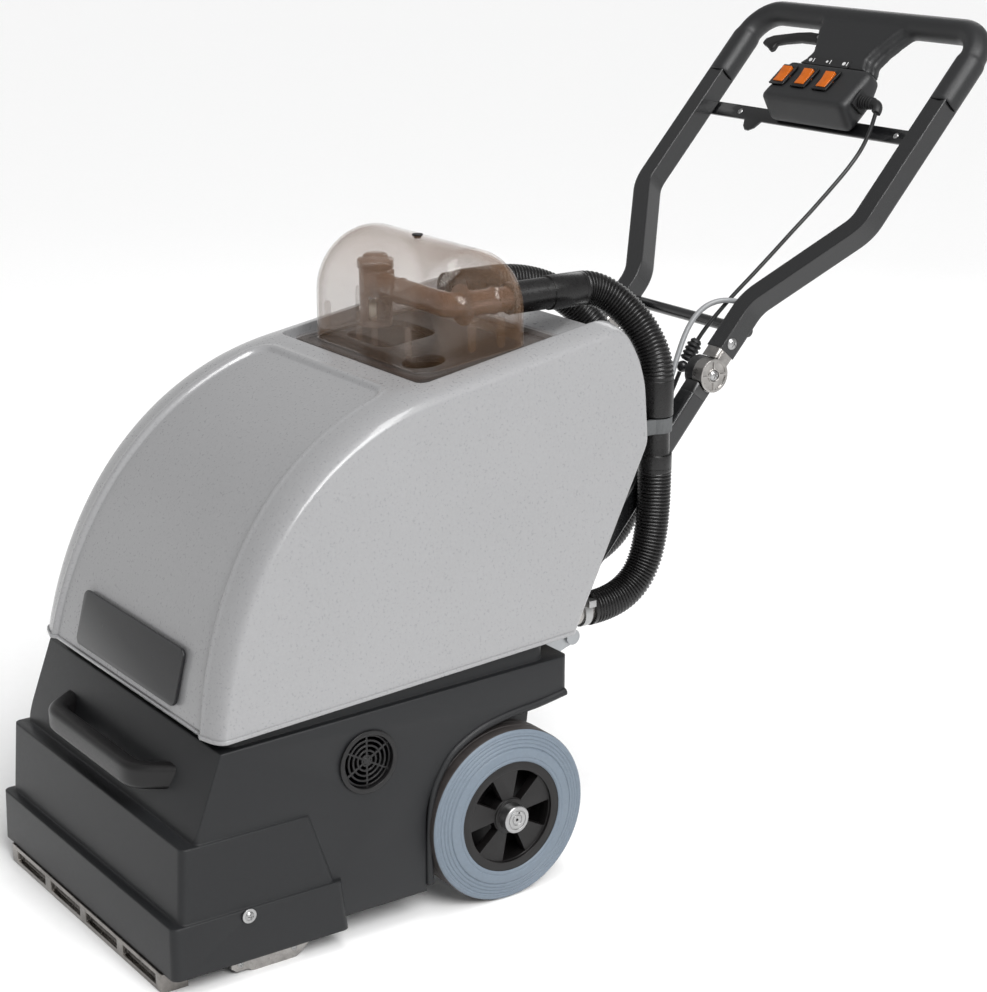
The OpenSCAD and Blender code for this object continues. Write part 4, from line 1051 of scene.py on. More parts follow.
FAR_CUFF = np.array((-38.0, 150.0, 639.0))
FAR_MID = (31.0, 308.0, 405.0)
UPPER_ROUTE = hose_run((85, 186, 648), (0, 42, 0), (140, 257, 545), (0, 0, 48))
LOWER_ROUTE = hose_run((140, 257, 441), (0, 0, -96), (140, 162, 287), (0, 82, 0))
FAR_ROUTE = np.concatenate([
    [FAR_CUFF],
    bezier((FAR_CUFF + (0, 4, 0), FAR_CUFF + (5, 120, 0), (25, 304, 560), FAR_MID), 80),
    bezier((FAR_MID, (33, 312, 317), (37, 235, 303), (37, 160, 303)), 50)[1:],
    [(37, 116, 303)]])
CABLE_ROUTE = (
    (112, 380, 6), (112, 358, -3), (111, 333, -8), (109, 305, -8), (105, 272, -6),
    (100, 238, -4), (95, 205, -1), (89, 170, 1), (84, 136, 4), (78, 102, 7),
    (72, 67, 8), (68, 42, 7), (65, 22, 3), (64, 8, 0))
TAIL_ROUTE = (
    (64, 353.8, 524), (64, 343, 502), (66, 322, 472), (70, 297, 444), (74, 270, 422),
    (78, 238, 405), (80, 205, 393), (80, 152, 392))
LINE_ROUTE = (
    (94, 417, 606), (90, 417, 606), (83, 411, 608), (76, 398, 607), (71, 383, 601),
    (69, 370, 590), (70, 357, 574), (73, 346, 556), (77, 334, 534), (81, 322, 510),
    (85, 308, 482), (88, 290, 452), (88, 268, 422), (88, 244, 394), (88, 214, 360),
    (88, 182, 326), (88, 152, 296), (88, 128, 272), (88, 109, 256), (88, 98, 250.3),
    (88, 87.6, 250))


@dataclass
class Run:
    """A hose or cable that hangs between two bodies.

    Attributes:
        node: the CAD node that it stands for.
        route: its middle line, in millimetres from the axle or, for a cable, in metres.
        d: outside diameter in millimetres.
        finish: its finish.
        body: the body at its far end.
        start_body: the body at its first end.
        cord: whether it is long enough to count as a free cord; not used.
    """

    node: str
    route: Array
    d: float = 39.0
    finish: Finish = HOSE_BLACK
    body: str = "body"
    start_body: str = "body"
    stiffness: str = "medium"
    cord: bool = True

    def hung(self, g: Array, path: Array, stops: Array,
             pieces: Sequence[bpy.types.Object] = ()) -> bpy.types.Object:
        """Closes the tube and dresses it, and puts it on its body where both its ends ride on one.

        Args:
            g: grid of the tube, in metres.
            path: its middle line, in metres; not used.
            stops: points of that line; not used.
            pieces: separate pieces that sit on it; not used.

        Returns:
            The hose or cable.
        """
        obj = prism(g, self.node + "_look", 60)
        obj.data.materials.append(self.finish.make())
        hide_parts(self.node)
        if self.start_body == self.body:
            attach(obj, self.body)
        else:
            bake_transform(obj)
        LOG.info("made %s", obj.name)
        return obj


@dataclass
class Hose(Run):
    """A ribbed suction hose: a tube whose radius dips between its ribs.

    Attributes:
        pitch: distance from rib to rib in millimetres.
        groove: depth between the ribs in millimetres.
        plain: length of smooth hose at each end, in millimetres.
        sides: points round the hose.
    """

    stiffness: str = "stiff"
    cord: bool = False
    pitch: float = 4.2
    groove: float = 1.7
    plain: Pair = (3.0, 3.0)
    sides: int = 40

    def radius(self, s: Array) -> Array:
        """Radius along the hose: dips by the groove as a flat-topped cosine.

        Args:
            s: distance along.

        Returns:
            The radius, in millimetres.
        """
        wave = 0.5 - 0.5 * np.cos(2 * math.pi * s / self.pitch)
        ease = smoothstep((s - self.plain[0]) / 3) * smoothstep((s[-1] - s - self.plain[1]) / 3)
        return self.d / 2 - self.groove * (1 - wave) ** 1.6 * ease

    def build(self) -> bpy.types.Object:
        """Makes the hose: seven rows of its tube to each rib.

        Returns:
            The hose.
        """
        path = resampled(softened_path(self.route, 2.0, 4), self.pitch / 7)
        points = axle_frame(path)
        g = tube(points, self.radius(lengths(path)) * MM, self.sides)
        return self.hung(g, points, np.concatenate([points[::4], points[-1:]]))


@dataclass
class Cable(Run):
    """A smooth round cable or line.

    Attributes:
        ball: radius in millimetres of a knuckle at its first end, or 0.
        up: direction that is never along it.
    """

    ball: float = 0.0
    up: Triple = (1.0, 0.0, 0.0)

    def build(self) -> bpy.types.Object:
        """Makes the cable as a tube with closed ends.

        Returns:
            The cable.
        """
        path = resampled(softened_path(self.route, 4 * MM, 10), 2 * MM)
        knuckle = [self.knuckle()] if self.ball else []
        return self.hung(tube(path, self.d / 2 * MM, 16, self.up), path, path, knuckle)

    def knuckle(self) -> bpy.types.Object:
        """The ball at the first end, on the hinges' axis: a half circle turned about X.

        Returns:
            The ball.
        """
        a = np.linspace(0.02, math.pi - 0.02, 17)
        profile = np.stack([np.cos(a), np.sin(a)], axis=1) * self.ball * MM
        ball = turned(profile, axle_frame([(self.route[0][0] / MM, *HINGE)])[0], 24)
        obj = prism(ball, self.node + "_knuckle", 60)
        return placed(obj, self.body, self.finish.make())


# ---------- cover ----------


@dataclass
class Cover:
    """The grey cover: a leaning front and a top that roll over into flat sides.

    Attributes:
        half: half its width at the foot of its sides, in millimetres.
        roll: radius of the roll across, in millimetres.
        drop: how far the roll brings the profile in, in millimetres.
        taper: how much each side leans in, per millimetre of height.
        foot: height from which the sides lean in.
        height: height of the top's front end.
        wall: its wall.
        recess: how deep the middle of the front lies back, in millimetres.
        crease: half width of that middle at the top and at the foot, in millimetres.
        top: place of its upper end, as a distance from the axle.
        corner: radius of its upper corners.
        slope: slope of the cover's lower edge, in degrees.
        well: half width, front end, length and corner radius of the channel in the top.
        hatch: width, length, corner radius and middle of the opening over the tank.
        bores: x, z, radius and the y at each end of the holes in the rear.
    """

    half: float = 210.0
    roll: float = 46.0
    drop: float = 15.0
    taper: float = 0.085
    foot: float = 265.0
    height: float = 588.0
    wall: float = 4.5
    recess: float = 4.2
    crease: Pair = (157.0, 177.0)
    top: float = -99.0
    corner: float = 22.0
    slope: float = 3.3
    well: Tuple[float, ...] = (150.0, -31.0, 431.0, 12.0)
    hatch: Tuple[float, ...] = (253.0, 191.0, 14.0, 77.0)
    bores: Tuple[Tuple[float, ...], ...] = (
        (140, 287, 17, 60, 200), (37, 303, 20.5, 56, 180), (80, 392, 3.2, 132, 180))

    def profile(self) -> Array:
        """Side view from the lower front corner over the top to the lower rear.

        Returns:
            Rows of y and z: a cubic front, a round shoulder and a straight rear, eased, with finer
            rows where the recess ends.
        """
        top = self.height
        front = bezier(((-360, 250), (-335, 432), (-231, 563), (-60, top)), 60)
        rear = ((209, 585), (216, 556), (217, 486), (50, 190))
        line = np.concatenate([[(-368, 190)], front, arc((164, top), 39, 96, 30, 14), rear])
        line = softened_path(line, 4.0, 6)
        s = lengths(line)
        fine = self.top_place(line, s) + np.arange(-26, 9, 1.4)
        t = np.unique(np.concatenate([s, fine]))
        t = t[np.concatenate([[True], np.diff(t) > 0.3])]
        return np.stack([np.interp(t, s, line[:, k]) for k in (0, 1)], axis=1)

    def top_place(self, line: Array, s: Array) -> float:
        """Distance along the profile at which the recess ends."""
        n = len(line) // 2
        return float(np.interp(self.top, line[:n, 0], s[:n]))

    def across(self, s: Array) -> Tuple[Array, Array]:
        """Spreads the skin across: flat, then a roll by an angle of distance over radius.

        Args:
            s: distance across the skin from its middle.

        Returns:
            Half width (flat plus roll times sine) and inset (drop times one less cosine).
        """
        phi = np.clip((np.abs(s) - (self.half - self.roll)) / self.roll, 0, math.pi / 2)
        flat = np.minimum(np.abs(s), self.half - self.roll)
        return np.sign(s) * (flat + self.roll * np.sin(phi)), self.drop * (1 - np.cos(phi))

    def sunk(self, across: Array, along: Array) -> Array:
        """Depth of the front's recess.

        Args:
            across: distance in from its side crease.
            along: distance down from its top crease.

        Returns:
            A smooth step by the distance from a round-cornered outline, with a low swell
            (a bell curve) on the outside of it.
        """
        r = self.corner
        both = (across < r) & (along < r)
        away = np.where(both, r - np.hypot(r - across, r - along), np.minimum(across, along))
        return self.recess * smoothstep((away + 1) / 5) - 0.9 * np.exp(-((away + 4) / 2.6) ** 2)

    def surface(self) -> Array:
        """Grid of the skin: the profile moved in along its normal, spread across and sheared in.

        Returns:
            Rows along the profile and columns across, in millimetres from the axle.
        """
        p = self.profile()
        s = lengths(p)
        t = np.gradient(p, s, axis=0)
        t /= np.linalg.norm(t, axis=1)[:, None]
        inward = np.stack([t[:, 1], -t[:, 0]], axis=1)
        down = np.clip((self.height - p[:, 1]) / (self.height - self.foot), 0, 1)
        edge = (self.crease[0] + (self.crease[1] - self.crease[0]) * down)[:, None]
        last = self.half - self.roll + self.roll * math.pi / 2
        near = np.array([[-26, -22, -18, -14, -11, -8.5, -6.5, -5, -4, -3, -2, -1, 0, 1, 2, 3, 4,
                          5, 6, 8, 10]])
        middle = np.linspace(0, 1, 8)[None, :-1] * (edge + near[0, 0])
        side = edge + near[0, -1] + (last - near[0, -1] - edge) * np.linspace(0, 1, 17)[None, 1:]
        half = np.concatenate([middle, edge + near, side], axis=1)
        u = np.concatenate([-half[:, :0:-1], half], axis=1)
        x, inset = self.across(u)
        along = (self.top_place(p, s) - s)[:, None]
        move = inset + self.sunk(edge - np.abs(u), along)
        y = p[:, :1] + inward[:, :1] * move
        z = p[:, 1:] + inward[:, 1:] * move
        x = x - np.sign(u) * self.taper * (z - self.foot) * smoothstep(np.abs(u) / 40)
        return np.stack([x, y, z], axis=-1)

    def foot_height(self, y: Array) -> Array:
        """Height of the cover's lower edge at y."""
        return self.foot + (y + 345) * math.tan(math.radians(self.slope))

    def lip(self) -> bpy.types.Object:
        """The thin lip round the lower edge.

        Returns:
            A rounded strip carried round the closed line where the skin meets the foot.
        """
        g = self.surface()
        above = g[..., 2] > self.foot_height(g[..., 1])
        ring = []
        for rise in (1, -1):
            i = np.argmax(np.diff(above.astype(int), axis=0) == rise, axis=0)
            j = np.arange(g.shape[1])
            a, b = g[i, j], g[i + 1, j]
            fa, fb = (v[:, 2] - self.foot_height(v[:, 1]) for v in (a, b))
            ring.append(a + (b - a) * (fa / (fa - fb))[:, None])
        loop = np.concatenate([ring[0], ring[1][::-1]])
        loop = resampled(np.concatenate([loop, loop[:1]]), 5.0)
        wrapped = axle_frame(np.concatenate([loop[-3:-1], loop, loop[1:2]]))
        up = (0, -math.sin(math.radians(self.slope)), math.cos(math.radians(self.slope)))
        section = (rounded_rectangle(2.4, 4.6, 0.9, 3) + (0.1, 2.2)) * MM
        band = carried(section, wrapped, up)[2:-2]
        return Skin().grid(band, round_u=True).build("cover_lip", sharp=50)

    def solid(self) -> bpy.types.Object:
        """The closed outer form.

        Returns:
            The skin with its two sides closed flat.
        """
        g = axle_frame(self.surface())
        skin = Skin().grid(g, round_u=True, round_v=False)
        skin.face(g[:, 0]).face(g[:, -1])
        return skin.build("cover_look", sharp=35)

    def over_deck(self, outline: Array, low: float, high: float) -> bpy.types.Object:
        """A straight cutter square to the deck."""
        return prism([deck_frame(np.insert(outline, 2, z, axis=1)) for z in (low, high)])

    def build(self) -> bpy.types.Object:
        """Makes the cover as a shell with its channel, its openings and its lip.

        Returns:
            The cover.
        """
        half, front, long, r = self.well
        channel = rounded_rectangle(2 * half, long, r) + (0, front + long / 2)
        obj = cut(self.solid(), [self.over_deck(channel, 0, 260)])
        a = math.radians(self.slope)
        plane = axle_frame([(0, -500, float(self.foot_height(np.array(-500.0))))])[0]
        sliced(obj, plane, (0, math.sin(a), -math.cos(a)))
        thickened(obj, self.wall * MM)
        hatch = rounded_rectangle(*self.hatch[:3]) + (0, self.hatch[3])
        cut(obj, [self.over_deck(hatch, -60, 40)] + [bored(*b) for b in self.bores])
        shade(obj, 33)
        placed(self.lip(), "body", COVER_GREY.make())
        return placed(obj, "body", COVER_GREY.make(), ["cover_shell"])


# ---------- dome and pipes ----------


@dataclass
class Dome:
    """The clear dome: upright walls under a round top, its ends rolled, on a flat flange.

    Attributes:
        half: half its length across, in millimetres.
        r: radius of its round top.
        roll: radius of its rolled ends.
        middle: y and z of the round top's axis.
        sink: how far the top comes down at the ends.
        wall: its wall.
        rim: width, length and corner radius of its flange.
        eased: share to which the flange's upper edge is drawn in.
        cuffs: x and z of the two hoses' holes.
    """

    half: float = 120.0
    r: float = 72.0
    roll: float = 26.0
    middle: Pair = (26.0, 640.0)
    sink: float = 5.0
    wall: float = 2.6
    rim: Triple = (264.0, 198.0, 12.0)
    eased: float = 0.994
    cuffs: Tuple[Pair, Pair] = ((85.0, 648.0), (-38.0, 639.0))

    def shell(self) -> Array:
        """Grid of the outer skin, by end angle and by place round the arch.

        Returns:
            Slices at x = side (half - roll + roll sin a), each an arch of radius
            r - roll (1 - cos a) on upright walls that stand on the flange.
        """
        ends = np.radians(np.linspace(0, 90, 15))
        flat = self.half - self.roll
        x = np.concatenate([-(flat + self.roll * np.sin(ends[::-1])),
                            np.linspace(-flat, flat, 22)[1:-1], flat + self.roll * np.sin(ends)])
        a = np.concatenate([ends[::-1], np.zeros(20), ends])
        r = (self.r - self.roll * (1 - np.cos(a)))[:, None]
        top = (self.middle[1] - self.sink * (1 - np.cos(a)))[:, None]
        turn = np.radians(np.linspace(180, 0, 49))
        y, z = self.middle[0] + r * np.cos(turn), top + r * np.sin(turn)
        rise = np.linspace(0, 1, 10)
        front, rear = self.flange(y[:, :1]), self.flange(y[:, -1:])
        y = np.concatenate([np.repeat(y[:, :1], 9, axis=1), y, np.repeat(y[:, -1:], 9, axis=1)],
                           axis=1)
        z = np.concatenate([(front + (top - front) * rise)[:, :-1], z,
                            (top + (rear - top) * rise)[:, 1:]], axis=1)
        return np.stack([np.broadcast_to(x[:, None], y.shape), y, z], axis=-1)

    def flange(self, y: Array) -> Array:
        """Height of the flange's upper face at a distance y from the axle."""
        a = math.radians(DECK_SLOPE)
        return DECK[1] + 9 / math.cos(a) + (y - DECK[0]) * math.tan(a)

    def apron(self) -> Skin:
        """The flange.

        Returns:
            A ring between the dome's foot and its rounded outline, its upper edge drawn in.
        """
        foot = rounded_rectangle(2 * self.half, 2 * self.r, self.roll, 12) + (0, 63.5)
        inner, outer = self.spread(foot), self.spread(rounded_rectangle(*self.rim, 12) + (0, 75))
        rows = [deck_frame(np.insert(p, 2, z, axis=1))
                for p, z in ((inner, 9.2), (outer * (self.eased, 1), 9.2), (outer, 8.2),
                             (outer, 6.2), (inner, 6.2))]
        return Skin().grid(np.array(rows), round_u=True)

    def clips(self) -> bpy.types.Object:
        """The moulded ribs low on the inside of the walls.

        Returns:
            Round-ended strips that stand off the front wall and the two ends.
        """
        skin = Skin()
        front, end = self.r - self.wall - self.middle[0], self.half - self.wall
        strip = rounded_rectangle(9, 34, 4.2, 6)
        rows = [[np.insert(strip + (x, 615), 1, out - front, axis=1) for out in (0.3, 3.5)]
                for x in (-84, -16, 16, 84)]
        rows += [[np.insert(strip + (y, 620), 0, side * (end - out), axis=1)
                  for out in (0.3, 3.5)] for side in (1, -1) for y in (20, 58)]
        for g in axle_frame(rows):
            skin.grid(g).ends(g)
        return skin.build("dome_clips", sharp=40)

    @staticmethod
    def spread(line: Array, n: int = 160) -> Array:
        """Evens out the points of a closed line by their angle about the flange's middle.

        Args:
            line: the closed line.
            n: number of points.

        Returns:
            n points of the line.
        """
        mid = np.array((0.0, 70.0))
        d = line - mid
        angle = np.unwrap(np.arctan2(d[:, 1], d[:, 0]))
        order = np.linspace(angle[0], angle[0] + 2 * math.pi, n, endpoint=False)
        closed = np.concatenate([line, line[:1]])
        turns = np.append(angle, angle[0] + 2 * math.pi)
        return np.stack([np.interp(order, turns, closed[:, 0]),
                         np.interp(order, turns, closed[:, 1])], axis=1)

    def build(self) -> bpy.types.Object:
        """Makes the dome, pierced for the two cuffs, with its clips and its flange.

        Returns:
            The dome.
        """
        g = axle_frame(self.shell())
        skin = Skin().grid(g, round_v=False).face(g[0]).face(g[-1])
        obj = thickened(skin.build("dome_look", sharp=60), self.wall * MM)
        cut(obj, [bored(x, z, 18.2, 60, 130) for x, z in self.cuffs])
        placed(self.clips(), "dome_unit", TINTED_CLEAR.make())
        flange = self.apron().build("dome_flange", sharp=30)
        shade(obj, 50)
        placed(flange, "dome_unit", CLEAR_FLANGE.make())
        return placed(obj, "dome_unit", TINTED_CLEAR.make(), ["dome"])


@dataclass
class Pipework:
    """The pipe inside the dome: in from the right-hand cuff, across, and a capped float valve.

    Attributes:
        r: outside radius of the pipe.
        bend: radius of its elbow.
        inlet: x, y and z of its end in the cuff.
        cage: x and y of the float cage's axis.
        beads: place from the start, or back from the end, height and width of its beads.
        disc: section of its flange, as distance along Y and radius.
        knob: section of the cap, as height and radius.
        cap_foot: height of the cap's foot.
    """

    r: float = 14.0
    bend: float = 18.0
    inlet: Triple = (85.0, 88.0, 648.0)
    cage: Pair = (-70.0, 14.0)
    beads: Tuple[Triple, ...] = ((20, 1.6, 2.2), (-6, 1.6, 3.0), (-34, 1.2, 2.5))
    disc: Tuple[Pair, ...] = ((26, 0.1), (26, 22), (26.8, 23), (28.4, 23), (29.2, 22), (29.2, 14))
    knob: Tuple[Pair, ...] = ((0, 0.2), (0, 20), (1.5, 21), (12, 21), (14, 19.5), (15, 15),
                              (19, 14), (21, 11), (21.5, 0.2))
    cap_foot: float = 666.0

    def pipe(self) -> Array:
        """The pipe: a tube along its line, with a bell curve of radius at each bead.

        Returns:
            Its grid, in metres.
        """
        x, y, z = self.inlet
        turn = arc((x - self.bend, self.cage[1] + self.bend), self.bend, 0, -90, 12)
        line = np.concatenate([[(x, y)], turn, [(self.cage[0] + 20, self.cage[1])]])
        path = resampled(np.insert(line, 2, z, axis=1), 2.0)
        s = lengths(path)
        radius = self.r + sum(high * np.exp(-((s - (at if at > 0 else s[-1] + at)) / wide) ** 2)
                              for at, high, wide in self.beads)
        return tube(axle_frame(path), radius * MM, 36, (0, 0, 1))

    @staticmethod
    def round_about(section: Sequence[Pair], u: float, v: float) -> Tuple[Array, Array, Array]:
        """A section of (place, radius) turned about (u, v).

        Args:
            section: rows of place along the axis and radius.
            u: first coordinate of the axis.
            v: second coordinate of the axis.

        Returns:
            Grids of place along the axis, u + radius cos a and v + radius sin a.
        """
        rows, a = np.array(section, float), circle(48)
        along = np.broadcast_to(rows[:, :1], (len(rows), len(a)))
        return along, u + rows[:, 1:] * np.cos(a), v + rows[:, 1:] * np.sin(a)

    def build(self) -> None:
        """Makes the pipe with its flange, and the cage's cap."""
        g = self.pipe()
        y, x, z = self.round_about(self.disc, self.inlet[0], self.inlet[2])
        skin = Skin().grid(g).ends(g).grid(axle_frame(np.stack([x, y, z], axis=-1)))
        placed(skin.build("inlet_pipe_look", sharp=40), "dome_unit", BROWN_PLASTIC.make(),
               ["inlet_pipe"])
        z, x, y = self.round_about(self.knob, *self.cage)
        rows = axle_frame(np.stack([x, y, self.cap_foot + 0.8 * z], axis=-1))
        cap = Skin().grid(rows).build("float_cap", sharp=40)
        placed(cap, "dome_unit", BROWN_PLASTIC.make())


# ---------- wheels ----------


class Side(Enum):
    """The two sides of the machine."""

    RIGHT = 1.0
    LEFT = -1.0

    @property
    def word(self) -> str:
        """The side's name as nodes spell it."""
        return self.name.lower()


@dataclass
class Wheel:
    """A wheel: grey tyre with ringed faces and a dark tread, five-paddle hub, bright cap.

    Attributes:
        side: which wheel.
        r: radius of the tyre; not used.
        rim: radius of the rim.
        middle: distance of its middle plane from the middle of the machine.
        grooves: radius, depth and width of each groove in the tyre's face.
        grey: rows of the tyre's half section ahead of the dark tread.
        web: section of the hub's back web, as distance from the middle plane and radius.
    """

    side: Side
    r: float = 100.0
    rim: float = 64.0
    middle: float = 196.0
    grooves: Tuple[Triple, ...] = ((68.5, 0.6, 0.7), (79.5, 1.3, 0.8), (84, 0.9, 0.65),
                                   (88, 0.9, 0.65), (92, 0.9, 0.65), (95, 0.5, 0.5))
    grey: int = 156
    web: Tuple[Pair, ...] = ((-12, 15), (-12, 54), (-10.5, 54), (-10.5, 15))

    def centre(self) -> Array:
        """Its middle, in metres."""
        return axle_frame([(self.side.value * self.middle, 0, 100)])[0]

    def face(self) -> Array:
        """Half of the tyre's section as (x, r), outwards from the bore.

        Returns:
            A face that slopes from 25 at the rim to 20 at the shoulder, with round-bottomed
            grooves where a narrow bell curve is taken away, then a shoulder and a flat tread.
        """
        r = np.linspace(self.rim, 96.5, 150)
        x = 25.2 - 5.0 * smoothstep((r - 68) / 34)
        x -= 1.0 * np.exp(-((r - self.rim) / 1.0) ** 2)
        for at, deep, wide in self.grooves:
            x -= deep * np.exp(-((r - at) / wide) ** 2)
        side = np.column_stack([x, r])
        shoulder = arc((x[-1] - 4.4, 95.6), 4.4, 5, 90, 8)
        tread = np.array([(12.0, 100.0), (6.6, 100.0), (6.0, 99.2), (5.2, 99.2), (4.6, 100.0),
                          (0.0, 100.0)])
        return np.concatenate([side, shoulder, tread])

    def tyre(self) -> bpy.types.Object:
        """The tyre: its half section and the mirrored half, turned about the axle.

        Returns:
            The tyre.
        """
        half = self.face() * MM
        profile = np.concatenate([half, half[-2::-1] * (-1, 1), half[:1]])
        g = turned(profile, self.centre(), 144, self.side.value)
        k, n = self.grey, 2 * len(half) - self.grey
        skin = Skin().grid(g[:k]).grid(g[k - 1:n], tag=1).grid(g[n - 1:])
        name = "tyre_" + self.side.word
        obj = skin.build(name + "_look", [TYRE_GREY.make(), TREAD.make()], 50)
        return placed(obj, "wheel_" + self.side.word, None, [name])

    def backing(self) -> bpy.types.Object:
        """The hub's dark back web: a thin ring turned about the axle.

        Returns:
            The web.
        """
        g = turned(np.array(self.web) * MM, self.centre(), 64, self.side.value)
        obj = Skin().grid(g, round_u=True).build("hub_web_" + self.side.word, sharp=30)
        return placed(obj, "wheel_" + self.side.word, HUB_BLACK.make())

    def build(self) -> None:
        """Makes the tyre and the hub."""
        self.tyre()
        Dressed("hub_" + self.side.word, HUB_BLACK, 0.0007, "black_plastic").build()
        self.backing()


@dataclass
class AxleCaps:
    """The two push-on caps: shallow discs with ringed faces and two small holes.

    Attributes:
        seat: distance of each cap's foot from the middle of the machine.
        r: radius of a cap.
        deep: depth of its rings.
        holes: y and z from the axle, and radius, of its small holes.
    """

    seat: float = 213.0
    r: float = 16.0
    deep: float = 0.9
    holes: Tuple[Triple, ...] = ((0, 0, 1.7), (2.6, 7.6, 1.2))

    def cap(self, side: Side) -> bpy.types.Object:
        """One cap: its half section turned about the axle, and pierced.

        Args:
            side: which wheel it is for.

        Returns:
            The cap.
        """
        d = self.deep
        profile = [(0, self.r), (16.2, self.r), (17.3, 15.5), (17.9, 14.5), (17.9, 11.6),
                   (17.9 - d, 11.2), (17.9 - d, 10.4), (17.9, 10.0), (17.7, 6.6), (17.7 - d, 6.2),
                   (17.7 - d, 5.5), (17.6, 5.1), (17.5, 0.05)]
        g = turned((np.array(profile) + (self.seat, 0)) * MM, axle_frame([(0, 0, 100)])[0], 64,
                   side.value)
        obj = prism(g, "axle_cap_" + side.word, 30)
        rings = [arc((y, 100 + z), r, 0, 360, 20)[:-1] for y, z, r in self.holes]
        cut(obj, [prism([axle_frame(np.insert(ring, 0, side.value * x, axis=1))
                         for x in (self.seat + 12, self.seat + 24)]) for ring in rings])
        shade(obj, 30)
        return obj

    def build(self) -> None:
        """Makes both caps in place of their node."""
        for side in Side:
            placed(self.cap(side), "body", BRIGHT_STEEL.make(), ["axle_caps"])


# ---------- base ----------


@dataclass
class Base:
    """The base housing's added forms: the rolled edge of each arch, and the carry handle.

    Attributes:
        bead: line of the rolled edge, as (y, z) in millimetres from the axle.
        bead_x: distance of that edge from the middle of the machine.
        oval: half width and half thickness of the rolled edge.
        bar: corners of the carry handle's line, as (x, y).
        bar_z: height of the carry handle.
        grip: width, height and corner radius of the carry handle's section.
    """

    bead: Tuple[Pair, ...] = (
        (-98, 40), (-98, 62), (-98, 93), (-96, 128), (-90, 156), (-72, 184), (-59, 193),
        (-46, 200), (-26, 208), (-6, 212), (20, 216), (45, 217.5), (61, 220), (84, 224))
    bead_x: float = 204.4
    oval: Pair = (4.4, 3.6)
    bar: Tuple[Pair, ...] = ((128, -352), (98, -393.5), (-98, -393.5), (-128, -352))
    bar_z: float = 205.0
    grip: Triple = (21.0, 27.0, 6.5)

    def arch(self, side: Side) -> bpy.types.Object:
        """The rolled edge of an arch: an oval section carried along its line.

        Args:
            side: which side.

        Returns:
            The edge.
        """
        line = softened_path(np.array(self.bead, float), 4, 8)
        path = axle_frame(np.insert(line, 0, self.bead_x * side.value, axis=1))
        a = circle(20)
        section = np.stack([self.oval[0] * np.cos(a), self.oval[1] * np.sin(a)], axis=1) * MM
        obj = prism(carried(section, path, (1, 0, 0)), "arch_bead_" + side.word, 50)
        return placed(obj, "body", GREY_BODY.make())

    def carry(self) -> bpy.types.Object:
        """The carry handle: a rounded section carried along its bent bar.

        Returns:
            The handle.
        """
        line = softened_path(np.array(self.bar, float), 2.5, 34)
        path = axle_frame(np.insert(line, 2, self.bar_z, axis=1))
        section = rounded_rectangle(*self.grip, 6) * MM
        obj = prism(carried(section, path, (0, 0, 1)), "carry_handle_look", 40)
        return placed(obj, "body", BLACK_PLASTIC.make(), ["carry_handle"])

    def build(self) -> None:
        """Makes the housing, its beads and the carry handle."""
        Dressed("base_housing", GREY_BODY, 0.0024).build()
        for side in Side:
            self.arch(side)
        self.carry()


# ---------- handle ----------


@dataclass
class Moulded:
    """A moulded CAD form with its joins and edges blended.

    Attributes:
        node: the CAD node.
        cell: size of the cells that the form is remade from, in metres.
        passes: rounds of smoothing.
    """

    node: str
    cell: float = 0.0022
    passes: int = 14

    def build(self) -> bpy.types.Object:
        """Remakes the CAD form on fine cells, and smooths it.

        Returns:
            The piece.
        """
        obj = softened(self.node, self.node + "_look")
        m = obj.modifiers.new("cells", "REMESH")
        m.mode = "VOXEL"
        m.voxel_size = self.cell
        m.use_smooth_shade = True
        e = obj.modifiers.new("ease", "SMOOTH")
        e.factor = 0.5
        e.iterations = self.passes
        baked(obj)
        shade(obj, 180)
        return placed(obj, home(self.node), GRIP_GREY.make())


@dataclass
class Boot:
    """The ribbed boot where the control cable meets the right-hand hinge.

    Attributes:
        line: its middle line in the handle's plane, in millimetres.
        r: radius between its ribs.
        rib: height of its ribs.
        pitch: distance from rib to rib.
    """

    line: Tuple[Triple, ...] = ((67, 36, 6), (66, 31, 5), (65, 22, 3), (64, 9, 0))
    r: float = 6.9
    rib: float = 2.0
    pitch: float = 5.6

    def build(self) -> bpy.types.Object:
        """Makes the boot: a tube whose radius rises by the rib as a flat-topped cosine.

        Returns:
            The boot.
        """
        path = softened_path(np.array(self.line, float), 0.7, 6)
        s = lengths(path)
        wave = smoothstep(1.4 * (0.5 - 0.5 * np.cos(2 * math.pi * s / self.pitch)))
        slim = 1 - 0.35 * smoothstep(1 - s / 8)
        g = tube(handle_frame(path), (self.r * slim + self.rib * wave * slim) * MM, 32)
        obj = prism(g, "cable_boot", 50)
        return placed(obj, "handle", BLACK_RUBBER.make())


